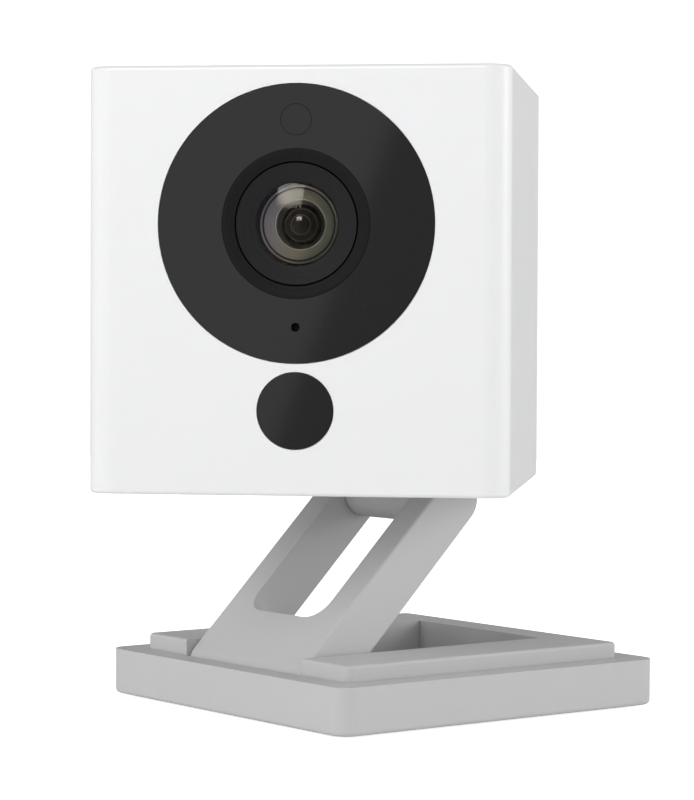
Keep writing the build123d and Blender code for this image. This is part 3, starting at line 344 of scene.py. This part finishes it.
def painted_reflection_colours():
    """Painted reflection colours, set by position: they drift from violet to olive across the lens,
    standing in for its tinted mirror image, and also paint light and shade on the spacer.
    """
    group, tree, given, result = new_group(
        "painted reflection colours", [("Centre", VECTOR, None)], [("Colour", COLOUR)]
    )
    place = tree.node("ShaderNodeTexCoord")
    offset = tree.vector_maths("SUBTRACT", place.outputs["Object"], given["Centre"])
    part = tree.node("ShaderNodeSeparateXYZ", Vector=offset.outputs[0])
    lean = tree.maths("MULTIPLY", part.outputs["Z"], REFLECTION_COLOURS_SLANT)
    across = tree.maths("SUBTRACT", part.outputs["X"], lean)
    drift = tree.spread(across, -REFLECTION_COLOURS_REACH, REFLECTION_COLOURS_REACH)
    tree.feed(result["Colour"], tree.ramp(drift, REFLECTION_COLOURS_STOPS))
    return group


skin_group = moulded_skin()
crevice_shade_group = crevice_painted_shade()
dust_group = dust_and_hairlines()
rings_group = turned_rings()
reflection_colours_group = painted_reflection_colours()


# ================================================================ plastics
FLOW_RANGE = (0.15, 0.85)
TONE_RANGE = (0.985, 1.0)


def plastic(name, colour, seam_shade_colour, roughness, grain=0.2, grain_scale=5200.0, shine=0.45):
    """Moulded plastic: skin grain, tone that drifts slightly, and painted shade darkening the seams."""
    material, tree, shader, place = new_material(name)
    skin = use_group(tree, skin_group, Vector=place, Grain_per_m=grain_scale, Grain_depth=grain)
    seam_shade = use_group(tree, crevice_shade_group)
    tone = tree.spread(skin["Flow"], *FLOW_RANGE, *TONE_RANGE)
    tone_colour = tree.node("ShaderNodeCombineColor", Red=tone, Green=tone, Blue=tone)
    drifted = tree.blend(1.0, colour, tone_colour.outputs["Color"], "MULTIPLY")
    # the seam colour is painted shade, laid where the occlusion mask is high
    tree.feed(shader.inputs["Base Color"], tree.blend(seam_shade["Mask"], drifted, seam_shade_colour))
    smoothest, roughest = roughness
    tree.feed(
        shader.inputs["Roughness"], tree.spread(skin["Flow"], *FLOW_RANGE, roughest, smoothest)
    )
    tree.feed(shader.inputs["Normal"], skin["Normal"])
    shader.inputs["Specular IOR Level"].default_value = shine
    return material


WHITE_COLOUR = (0.905, 0.908, 0.915, 1)
# colour of the painted shade in the seams of the white head
WHITE_SEAM_SHADE = (0.42, 0.42, 0.43, 1)
WHITE_DEPTH = 0.08
WHITE_BLEED = (1.2 * MM, 1.1 * MM, 1.0 * MM)


def white_plastic():
    """Satin white polycarbonate of the head, slightly translucent."""
    material = plastic("white polycarbonate", WHITE_COLOUR, WHITE_SEAM_SHADE, (0.27, 0.34), grain=0.12)
    shader = material.node_tree.nodes["Principled BSDF"]
    shader.inputs["Subsurface Weight"].default_value = WHITE_DEPTH
    shader.inputs["Subsurface Radius"].default_value = WHITE_BLEED
    shader.inputs["Subsurface Scale"].default_value = 1.0
    return material


ACRYLIC_COLOUR = (0.0115, 0.0115, 0.0122, 1)
ACRYLIC_DUST = grey(0.05)
ACRYLIC_DUST_SHARE = 0.25
ACRYLIC_ROUGHNESS = 0.04
HAIRLINE_ROUGHNESS = 0.03


def black_acrylic():
    """Polished black acrylic of the windows, with dust and hairlines."""
    material, tree, shader, place = new_material("black acrylic")
    marks = use_group(tree, dust_group, Vector=place)
    dust = tree.maths("MULTIPLY", marks["Dust"], ACRYLIC_DUST_SHARE)
    tree.feed(shader.inputs["Base Color"], tree.blend(dust, ACRYLIC_COLOUR, ACRYLIC_DUST))
    scratch = tree.maths("MULTIPLY", marks["Hairlines"], HAIRLINE_ROUGHNESS)
    tree.feed(shader.inputs["Roughness"], tree.maths("ADD", scratch, ACRYLIC_ROUGHNESS))
    return material


CLEAR_CLOUD_PER_M = 1500.0
CLEAR_THIN = (0.62, 0.64, 0.68, 1)
CLEAR_MILKY = (0.8, 0.82, 0.86, 1)
CLEAR_PASSES = 0.6
CLEAR_ROUGHNESS = 0.25


def clear_moulding():
    """Milky clear plastic of the light pipe and the lamps."""
    material, tree, shader, place = new_material("clear moulding")
    cloud = tree.node("ShaderNodeTexNoise", Vector=place, Scale=CLEAR_CLOUD_PER_M)
    tree.feed(
        shader.inputs["Base Color"], tree.blend(cloud.outputs["Fac"], CLEAR_THIN, CLEAR_MILKY)
    )
    shader.inputs["Transmission Weight"].default_value = CLEAR_PASSES
    shader.inputs["Roughness"].default_value = CLEAR_ROUGHNESS
    return material


RUBBER_CELLS_PER_M = 2600.0
RUBBER_CELL_HEIGHT = 0.04 * MM
RUBBER_CELL_STRENGTH = 0.5
RUBBER_BLOOM_PER_M = 300.0
RUBBER_BLOOM_EDGES = (0.4, 0.75)
RUBBER_BLOOM_MOST = 0.35
RUBBER_COLOUR = (0.028, 0.028, 0.03, 1)
RUBBER_BLOOM = (0.09, 0.088, 0.085, 1)
RUBBER_ROUGHNESS = 0.82


def rubber():
    """Matt black rubber with a fine stipple and a dusty bloom."""
    material, tree, shader, place = new_material("black rubber")
    cells = tree.node("ShaderNodeTexVoronoi", Vector=place, Scale=RUBBER_CELLS_PER_M)
    bloom = tree.node("ShaderNodeTexNoise", Vector=place, Scale=RUBBER_BLOOM_PER_M)
    amount = tree.spread(bloom.outputs["Fac"], *RUBBER_BLOOM_EDGES, 0.0, RUBBER_BLOOM_MOST)
    tree.feed(shader.inputs["Base Color"], tree.blend(amount, RUBBER_COLOUR, RUBBER_BLOOM))
    shader.inputs["Roughness"].default_value = RUBBER_ROUGHNESS
    bump = tree.node(
        "ShaderNodeBump",
        Height=cells.outputs["Distance"],
        Distance=RUBBER_CELL_HEIGHT,
        Strength=RUBBER_CELL_STRENGTH,
    )
    tree.feed(shader.inputs["Normal"], bump.outputs["Normal"])
    return material


# ================================================================ finishes of the lens
def rings_on_axis(tree, place, rings):
    """The turned-rings group, centred on the axis of the lens."""
    return use_group(
        tree, rings_group, Vector=place, Centre=tuple(lens_centre), Rings_per_m=rings
    )


BLACK_GRAIN_PER_M = 6000.0
BLACK_GRAIN_EDGES = (0.3, 0.7)
BLACK_DARKEST = 0.8


def turned_black(name, colour, roughness, rings=9000.0, shine=0.02):
    """Matt black ring of the lens with faint turning marks and a mottled tone."""
    material, tree, shader, place = new_material(name)
    turned = rings_on_axis(tree, place, rings)
    grain = tree.node("ShaderNodeTexNoise", Vector=place, Scale=BLACK_GRAIN_PER_M)
    mottle = tree.spread(grain.outputs["Fac"], *BLACK_GRAIN_EDGES)
    tree.feed(
        shader.inputs["Base Color"], tree.blend(mottle, darker(colour, BLACK_DARKEST), colour)
    )
    tree.feed(shader.inputs["Roughness"], tree.spread(turned["Ring"], -1.0, 1.0, *roughness))
    tree.feed(shader.inputs["Normal"], turned["Normal"])
    shader.inputs["Specular IOR Level"].default_value = shine
    return material


FINE_RINGS = 16000.0
SPACER_REACH = 5.0 * MM
SPACER_ROUGHNESS = (0.3, 0.42)
# share of the painted light and shade on the spacer
SPACER_PAINTED_SHARE = 0.8
INK = grey(0.002)
SPACER_STOPS = (
    (0.0, grey(0.46)),
    (0.62, (0.52, 0.5096, 0.468, 1)),
    (0.85, (0.46, 0.4508, 0.414, 1)),
    (0.868, (0.002, 0.00196, 0.0018, 1)),  # first inked line
    (0.895, (0.002, 0.00196, 0.0018, 1)),
    (0.91, (0.40, 0.392, 0.36, 1)),
    (0.955, (0.40, 0.392, 0.36, 1)),
    (0.965, INK),                          # second inked line, out to the rim
)


def inked_spacer():
    """Satin grey ring behind the front glass, with two inked black lines, multiplied by painted light and
    shade from the painted reflection colours: lighter at the left, darker at the right.
    """
    material, tree, shader, place = new_material("inked spacer")
    turned = rings_on_axis(tree, place, FINE_RINGS)
    bands = tree.ramp(tree.spread(turned["Radius"], 0.0, SPACER_REACH), SPACER_STOPS)
    painted_colours = use_group(tree, reflection_colours_group, Centre=tuple(lens_centre))
    # painted light and shade: lighter at the left, darker at the right
    tree.feed(
        shader.inputs["Base Color"], tree.blend(SPACER_PAINTED_SHARE, bands, painted_colours["Colour"], "MULTIPLY")
    )
    tree.feed(
        shader.inputs["Roughness"], tree.spread(turned["Ring"], -1.0, 1.0, *SPACER_ROUGHNESS)
    )
    tree.feed(shader.inputs["Normal"], turned["Normal"])
    return material


BALL_REACH = 3.0 * MM
BALL_ROUGHNESS = 0.045
BALL_SHINE = 0.3
GLASS_DUST_ROUGHNESS = 0.08
BALL_STOPS = (
    (0.0, (0.010, 0.008, 0.006, 1)),
    (0.36, (0.010, 0.008, 0.006, 1)),
    (0.39, (0.110, 0.095, 0.080, 1)),      # inner pale ring, painted light
    (0.42, (0.014, 0.011, 0.008, 1)),
    (0.60, (0.014, 0.011, 0.009, 1)),
    (0.63, (0.090, 0.075, 0.060, 1)),      # outer pale ring, painted light
    (0.67, (0.014, 0.011, 0.009, 1)),
    (0.825, (0.010, 0.008, 0.006, 1)),
    (0.84, (0.85, 0.85, 0.80, 1)),         # ground flat outside the dome
    (1.0, (0.90, 0.90, 0.85, 1)),
)


def dark_ball():
    """Strongly curved inner lens, opaque: its brown-black colour is painted shade standing in for the
    dark barrel behind it, and its paler rings are painted light on the ring edges seen through it.
    """
    material, tree, shader, place = new_material("dark inner lens")
    turned = rings_on_axis(tree, place, FINE_RINGS)
    bands = tree.ramp(tree.spread(turned["Radius"], 0.0, BALL_REACH), BALL_STOPS)
    tree.feed(shader.inputs["Base Color"], bands)
    marks = use_group(tree, dust_group, Vector=place)
    dust = tree.maths("MULTIPLY", marks["Dust"], GLASS_DUST_ROUGHNESS)
    tree.feed(shader.inputs["Roughness"], tree.maths("ADD", dust, BALL_ROUGHNESS))
    shader.inputs["Specular IOR Level"].default_value = BALL_SHINE
    return material


GLASS_IOR = 1.52
COATED_MIRROR = (0.15, 0.14, 0.12, 1.0)    # what the coating leaves of the mirror image
# share of the painted reflection colours in the glass colour
REFLECTION_COLOURS_SHARE = 0.5


def painted_tint_glass(name, strength, tint, clear=1.0, roughness=0.01):
    """Clear glass coloured by the painted reflection colours, with its mirror image dimmed by a specular
    tint.
    """
    material, tree, shader, place = new_material(name)
    painted_colours = use_group(tree, reflection_colours_group, Centre=tuple(lens_centre))
    marks = use_group(tree, dust_group, Vector=place)
    # the base colour mixes the tint with the painted reflection colours
    tree.feed(shader.inputs["Base Color"], tree.blend(REFLECTION_COLOURS_SHARE, tint, painted_colours["Colour"]))
    dust = tree.maths("MULTIPLY", marks["Dust"], GLASS_DUST_ROUGHNESS)
    tree.feed(shader.inputs["Roughness"], tree.maths("ADD", dust, roughness))
    shader.inputs["Transmission Weight"].default_value = clear
    shader.inputs["IOR"].default_value = GLASS_IOR
    shader.inputs["Specular Tint"].default_value = COATED_MIRROR
    shader.inputs["Specular IOR Level"].default_value = strength
    return material


# ================================================================ metals and boards
METAL_DETAIL = 5.0
METAL_DARKEST = 0.82
METAL_STREAK_HEIGHT = 0.01 * MM
METAL_STREAK_STRENGTH = 0.3
STREAK_EDGES = (0.3, 0.7)
DRAWN = (40.0, 4000.0, 40.0)
TUMBLED = (900.0, 900.0, 900.0)


def metal(name, colour, roughness, streak=DRAWN):
    """Plated, drawn or tumbled metal with fine streaks."""
    material, tree, shader, place = new_material(name)
    drawn = tree.node("ShaderNodeMapping", Vector=place, Scale=streak)
    line = tree.node("ShaderNodeTexNoise", Vector=drawn.outputs["Vector"], Scale=1.0)
    tree.feed(line.inputs["Detail"], METAL_DETAIL)
    shader.inputs["Metallic"].default_value = 1.0
    tree.feed(
        shader.inputs["Base Color"],
        tree.blend(line.outputs["Fac"], darker(colour, METAL_DARKEST), colour),
    )
    tree.feed(
        shader.inputs["Roughness"], tree.spread(line.outputs["Fac"], *STREAK_EDGES, *roughness)
    )
    bump = tree.node(
        "ShaderNodeBump",
        Height=line.outputs["Fac"],
        Distance=METAL_STREAK_HEIGHT,
        Strength=METAL_STREAK_STRENGTH,
    )
    tree.feed(shader.inputs["Normal"], bump.outputs["Normal"])
    return material


TRACKS_PER_M = 420.0
TRACK_GAP = 0.03
TRACK_HEIGHT = 0.03 * MM
MASK_COLOUR = (0.012, 0.10, 0.045, 1)
MASK_OVER_COPPER = (0.016, 0.125, 0.055, 1)
MASK_EDGE = (0.03, 0.21, 0.09, 1)
MASK_WEAVE_PER_M = 3000.0
MASK_ROUGHNESS = (0.25, 0.4)


def circuit_board():
    """Green solder mask over a pattern of copper tracks and pads."""
    material, tree, shader, place = new_material("solder mask")
    tracks = tree.node(
        "ShaderNodeTexBrick",
        Vector=place,
        Scale=TRACKS_PER_M,
        Color1=MASK_COLOUR,
        Color2=MASK_OVER_COPPER,
        Mortar=MASK_EDGE,
        Mortar_Size=TRACK_GAP,
    )
    weave = tree.node("ShaderNodeTexNoise", Vector=place, Scale=MASK_WEAVE_PER_M)
    tree.feed(shader.inputs["Base Color"], tracks.outputs["Color"])
    tree.feed(
        shader.inputs["Roughness"],
        tree.spread(weave.outputs["Fac"], *STREAK_EDGES, *MASK_ROUGHNESS),
    )
    bump = tree.node("ShaderNodeBump", Height=tracks.outputs["Fac"], Distance=TRACK_HEIGHT)
    tree.feed(shader.inputs["Normal"], bump.outputs["Normal"])
    return material


# ================================================================ finishes and what wears them
finishes = {
    "white": white_plastic(),
    # the third colour of each plastic is the painted shade for its seams
    "grey": plastic("grey stand plastic", grey(0.57), grey(0.2), (0.36, 0.44), 0.22, shine=0.12),
    "dark": plastic("dark plastic", (0.03, 0.03, 0.032, 1), grey(0.01), (0.45, 0.6), 0.6, 2600.0),
    "nylon": plastic("white nylon", (0.72, 0.72, 0.68, 1), (0.3, 0.3, 0.28, 1), (0.4, 0.5)),
    "button": plastic("grey button", (0.32, 0.32, 0.33, 1), grey(0.1), (0.35, 0.45), 0.3),
    "window": black_acrylic(),
    "hood": turned_black("lens hood", (0.0175, 0.0175, 0.018, 1), (0.5, 0.58)),
    "barrel": turned_black("lens barrel", (0.0255, 0.0255, 0.026, 1), (0.45, 0.53)),
    "inner": turned_black("inner barrel", (0.010, 0.0095, 0.009, 1), (0.3, 0.5), 12000.0, 0.5),
    "baffle": metal("anodised baffle", (0.42, 0.41, 0.38, 1), (0.35, 0.45)),
    "spacer": inked_spacer(),
    "ball": dark_ball(),
    "front glass": painted_tint_glass("front glass", 0.07, (0.97, 0.95, 0.92, 1)),
    "inner glass": painted_tint_glass("inner glass", 0.4, (0.8, 0.72, 0.64, 1), roughness=0.03),
    "filter": painted_tint_glass("filter glass", 0.8, (0.5, 0.2, 0.22, 1), clear=0.95),
    "steel": metal("plated steel", (0.62, 0.62, 0.63, 1), (0.25, 0.4)),
    "sheet": metal("tin plate", (0.70, 0.70, 0.71, 1), (0.22, 0.36)),
    "magnet": metal("nickel", (0.72, 0.70, 0.66, 1), (0.12, 0.2)),
    "gold": metal("gilt contact", (0.80, 0.60, 0.28, 1), (0.2, 0.35)),
    "aluminium": metal("aluminium", (0.77, 0.77, 0.78, 1), (0.4, 0.55), TUMBLED),
    "board": circuit_board(),
    "rubber": rubber(),
    "clear": clear_moulding(),
}

dress = {
    "white": ["head_shell", "rear_cover"],
    "grey": ["base_body", "stand_arm", "swivel_carrier"],
    "dark": [
        "base_cover", "image_sensor", "processor", "light_sensor", "button_switch", "speaker",
        "port_tongues", "ribbon_connectors", "lens_holder", "window_seal", "speaker_gasket",
        "microphone", "thermal_pad",
    ],
    "nylon": ["base_washers", "head_washers"],
    "button": ["setup_button"],
    "window": ["front_window", "light_sensor_window", "indicator_lens"],
    "hood": ["lens_hood"],
    "barrel": ["lens_barrel"],
    "inner": ["aperture_ring"],
    "spacer": ["spacer_ring"],
    "baffle": ["lens_baffle"],
    "front glass": ["front_lens"],
    "ball": ["middle_lens"],
    "inner glass": ["rear_lens"],
    "filter": ["ir_cut_filter"],
    "steel": [
        "base_pin", "head_pin", "base_screws", "swivel_screws", "case_screws", "board_screws",
    ],
    "sheet": [
        "magnet_yokes", "swivel_retainer", "spring_washer", "radio_shield", "usb_socket",
        "power_socket", "card_socket",
    ],
    "magnet": ["base_magnets"],
    "gold": ["antenna", "sensor_ribbon"],
    "aluminium": ["heat_spreader"],
    "board": ["sensor_board", "lamp_board", "light_sensor_board", "button_board", "main_board"],
    "rubber": ["foot_pad", "microphone_boot"],
    "clear": ["infrared_lamps", "status_light_pipe", "status_lamps"],
}
for finish, names in dress.items():
    for name in names:
        for holder in nodes[name].material_slots:
            holder.link = "OBJECT"
            holder.material = finishes[finish]


# ================================================================ glass of the lens
AROUND = 96                    # points round the axis
ACROSS = 24                    # points from the axis to the rim
SHARP = 35                     # degrees between faces from which an edge stays sharp


def glass_profile(low, high, front_bulge, back_bulge, dome=None):
    """Radii and depths from beside the front pole, out, round the rim, to beside the rear pole.

    At radius r a sphere of bulge b over a rim of radius a sags by R - sqrt(R^2 - r^2), with
    R = (a^2 + b^2) / 2b. A dome of radius R over an edge of radius e stands on the flat of the
    rim instead, where it is sqrt(R^2 - r^2) - sqrt(R^2 - e^2) proud at r < e.
    """
    rim = (high.x - low.x) / 2
    reach = np.sin(np.linspace(0, pi / 2, ACROSS)) * rim

    def sag(bulge):
        sphere = (rim**2 + bulge**2) / (2 * abs(bulge))
        return np.sign(bulge) * (sphere - np.sqrt(sphere**2 - reach**2))

    front = low.y + sag(front_bulge)
    if dome:
        curve, edge = dome
        inside = np.minimum(reach, edge)
        proud = np.sqrt(curve**2 - inside**2) - np.sqrt(curve**2 - edge**2)
        front = low.y + front_bulge - proud
    rear_pole = high.y + min(back_bulge, 0.0)
    back = rear_pole - sag(back_bulge)
    radius = np.concatenate([reach[1:], reach[:0:-1]])
    depth = np.concatenate([front[1:], back[:0:-1]])
    return radius, depth, front[0], rear_pole


def round_glass(name, node, front_bulge, back_bulge, finish, dome=None):
    """Lens element on the lens axis in place of a CAD one: its profile turned round the axis.

    A point of the profile at radius r and depth y, turned by t, lies at
    (x0 + r cos t, y, z0 + r sin t), and a fan of triangles closes each pole.
    """
    low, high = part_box(node)
    radius, depth, front_pole, rear_pole = glass_profile(low, high, front_bulge, back_bulge, dome)
    middle_x, middle_z = (low.x + high.x) / 2, (low.z + high.z) / 2
    turn = np.linspace(0, tau, AROUND, endpoint=False)
    ring = radius.size
    points = np.empty((AROUND, ring, 3))
    points[:, :, 0] = middle_x + np.cos(turn)[:, None] * radius
    points[:, :, 1] = depth
    points[:, :, 2] = middle_z + np.sin(turn)[:, None] * radius
    poles = np.array([(middle_x, front_pole, middle_z), (middle_x, rear_pole, middle_z)])
    corners = np.concatenate([points.reshape(-1, 3), poles])

    here, along = np.meshgrid(np.arange(AROUND), np.arange(ring - 1), indexing="ij")
    start = here * ring + along
    after = (here + 1) % AROUND * ring + along
    quads = np.stack([start, after, after + 1, start + 1], axis=-1).reshape(-1, 4)
    spoke = np.arange(AROUND) * ring
    following = np.roll(spoke, -1)
    front_fan = np.stack([following, spoke, np.full(AROUND, AROUND * ring)], axis=-1)
    last = ring - 1
    rear_fan = np.stack([spoke + last, following + last, np.full(AROUND, AROUND * ring + 1)], axis=-1)

    mesh = bpy.data.meshes.new(name)
    mesh.from_pydata(corners.tolist(), [], quads.tolist() + front_fan.tolist() + rear_fan.tolist())
    mesh.materials.append(finish)
    mesh.shade_smooth()
    mesh.set_sharp_from_angle(angle=radians(SHARP))
    piece = bpy.data.objects.new(name, mesh)
    scene.collection.objects.link(piece)
    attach(piece, "head")
    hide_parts(node)


round_glass("front_glass", "front_lens", 0.85 * MM, -1.1 * MM, finishes["front glass"])
round_glass(
    "middle_glass", "middle_lens", 0.55 * MM, 0.4 * MM, finishes["ball"],
    dome=(2.9 * MM, 2.5 * MM),
)
round_glass("rear_glass", "rear_lens", 0.5 * MM, 0.4 * MM, finishes["inner glass"])


# ================================================================ studio floor
FLOOR_SIDE = 0.6
FLOOR_TOP = -0.1 * MM          # just clear of the foot pad's face
FLOOR_GLOW = 0.08              # on the object
FLOOR_SHOWN = 0.9              # to the camera, which sees the floor as white paper
FLOOR_CLOUD_PER_M = 3.0
FLOOR_ROUGHNESS = 0.7
FLOOR_SHINE = 0.1


def pale_floor():
    """White paper floor that glows for the camera and hardly lights the object."""
    material, tree, shader, place = new_material("pale floor")
    cloud = tree.node("ShaderNodeTexNoise", Vector=place, Scale=FLOOR_CLOUD_PER_M)
    tree.feed(
        shader.inputs["Base Color"], tree.blend(cloud.outputs["Fac"], grey(0.86), grey(0.89))
    )
    shader.inputs["Roughness"].default_value = FLOOR_ROUGHNESS
    shader.inputs["Specular IOR Level"].default_value = FLOOR_SHINE
    shader.inputs["Emission Color"].default_value = grey(1.0)
    ray = tree.node("ShaderNodeLightPath")
    tree.feed(
        shader.inputs["Emission Strength"],
        tree.spread(ray.outputs["Is Camera Ray"], 0.0, 1.0, FLOOR_GLOW, FLOOR_SHOWN),
    )
    return material


floor_mesh = bpy.data.meshes.new("floor")
floor_mesh.from_pydata(
    [(x * FLOOR_SIDE, y * FLOOR_SIDE, FLOOR_TOP) for x, y in ((-1, -1), (1, -1), (1, 1), (-1, 1))],
    [],
    [(0, 1, 2, 3)],
)
floor_mesh.materials.append(pale_floor())
floor = bpy.data.objects.new("floor", floor_mesh)
scene.collection.objects.link(floor)
floor.visible_glossy = False


# ================================================================ studio walls
SKY_OVERHEAD = 0.33
SKY_HORIZON = 1.42
SKY_FALL = 2.0
CARD_LEAN = 0.364              # how far the card's edge slants, as X per Z
CARD_EDGE = -0.144             # where the edge lies, as a direction
CARD_SOFT = 0.004
FRONT_FULL = -0.9              # directions in Y between which the front of the room ends
FRONT_END = -0.6
ROOM_DARK = 0.3
ROOM_CARD = 0.72
ROOM_SIDES = 0.25
BACKDROP = 1.1


def studio_walls():
    """Background of the studio, with its own brightness for each kind of ray.

    The camera sees a white backdrop. Diffuse light is bright round the horizon and dimmer
    overhead. Mirror images show a dim room and a pale card beyond the camera, whose slanting
    edge runs down the black windows.
    """
    world = bpy.data.worlds.new("studio")
    scene.world = world
    world.use_nodes = True
    tree = Tree(world.node_tree)
    output = tree.node("ShaderNodeOutputWorld")
    look = tree.node("ShaderNodeTexCoord")
    part = tree.node("ShaderNodeSeparateXYZ", Vector=look.outputs["Generated"])
    ray = tree.node("ShaderNodeLightPath")

    height = tree.maths("ABSOLUTE", part.outputs["Z"])
    low_down = tree.maths("POWER", tree.maths("SUBTRACT", 1.0, height), SKY_FALL)
    fill = tree.spread(low_down, 0.0, 1.0, SKY_OVERHEAD, SKY_HORIZON)

    lean = tree.maths("MULTIPLY", part.outputs["Z"], CARD_LEAN)
    slant = tree.maths("SUBTRACT", part.outputs["X"], lean)
    card = tree.spread(
        slant, CARD_EDGE - CARD_SOFT, CARD_EDGE + CARD_SOFT, ROOM_CARD, ROOM_DARK, smooth=True
    )
    ahead = tree.spread(part.outputs["Y"], FRONT_FULL, FRONT_END, 1.0, 0.0, smooth=True)
    room = tree.either(ahead, card, ROOM_SIDES)

    seen = tree.either(ray.outputs["Is Glossy Ray"], room, fill)
    strength = tree.either(ray.outputs["Is Camera Ray"], BACKDROP, seen)
    glow = tree.node("ShaderNodeBackground", Color=grey(1.0), Strength=strength)
    tree.feed(output.inputs["Surface"], glow.outputs["Background"])


studio_walls()


# ================================================================ studio lights
LIT_POINT = Vector((0, 0, 0.045))          # about the middle of the object


def soft_box(name, place, size, power):
    """A rectangular soft box that points at the object."""
    data = bpy.data.lights.new(name, "AREA")
    data.shape = "RECTANGLE"
    data.size, data.size_y = size
    data.energy = power
    lamp = bpy.data.objects.new(name, data)
    scene.collection.objects.link(lamp)
    lamp.location = place
    lamp.rotation_mode = "QUATERNION"
    lamp.rotation_quaternion = (LIT_POINT - Vector(place)).to_track_quat("-Z", "Y")
    return lamp


front_box = soft_box("top front box", (-0.7, -0.7, 0.5), (0.56, 0.62), 3.5)
front_box.visible_glossy = False
front_box.visible_transmission = False
# a smaller and brighter box, for mirror images only
lens_box = soft_box("lens box", (-0.295, -0.95, 0.62), (0.47, 0.4), 8.5)
lens_box.visible_diffuse = False
soft_box("right side box", (1.15, 0.15, 0.4), (0.6, 0.6), 4.3)
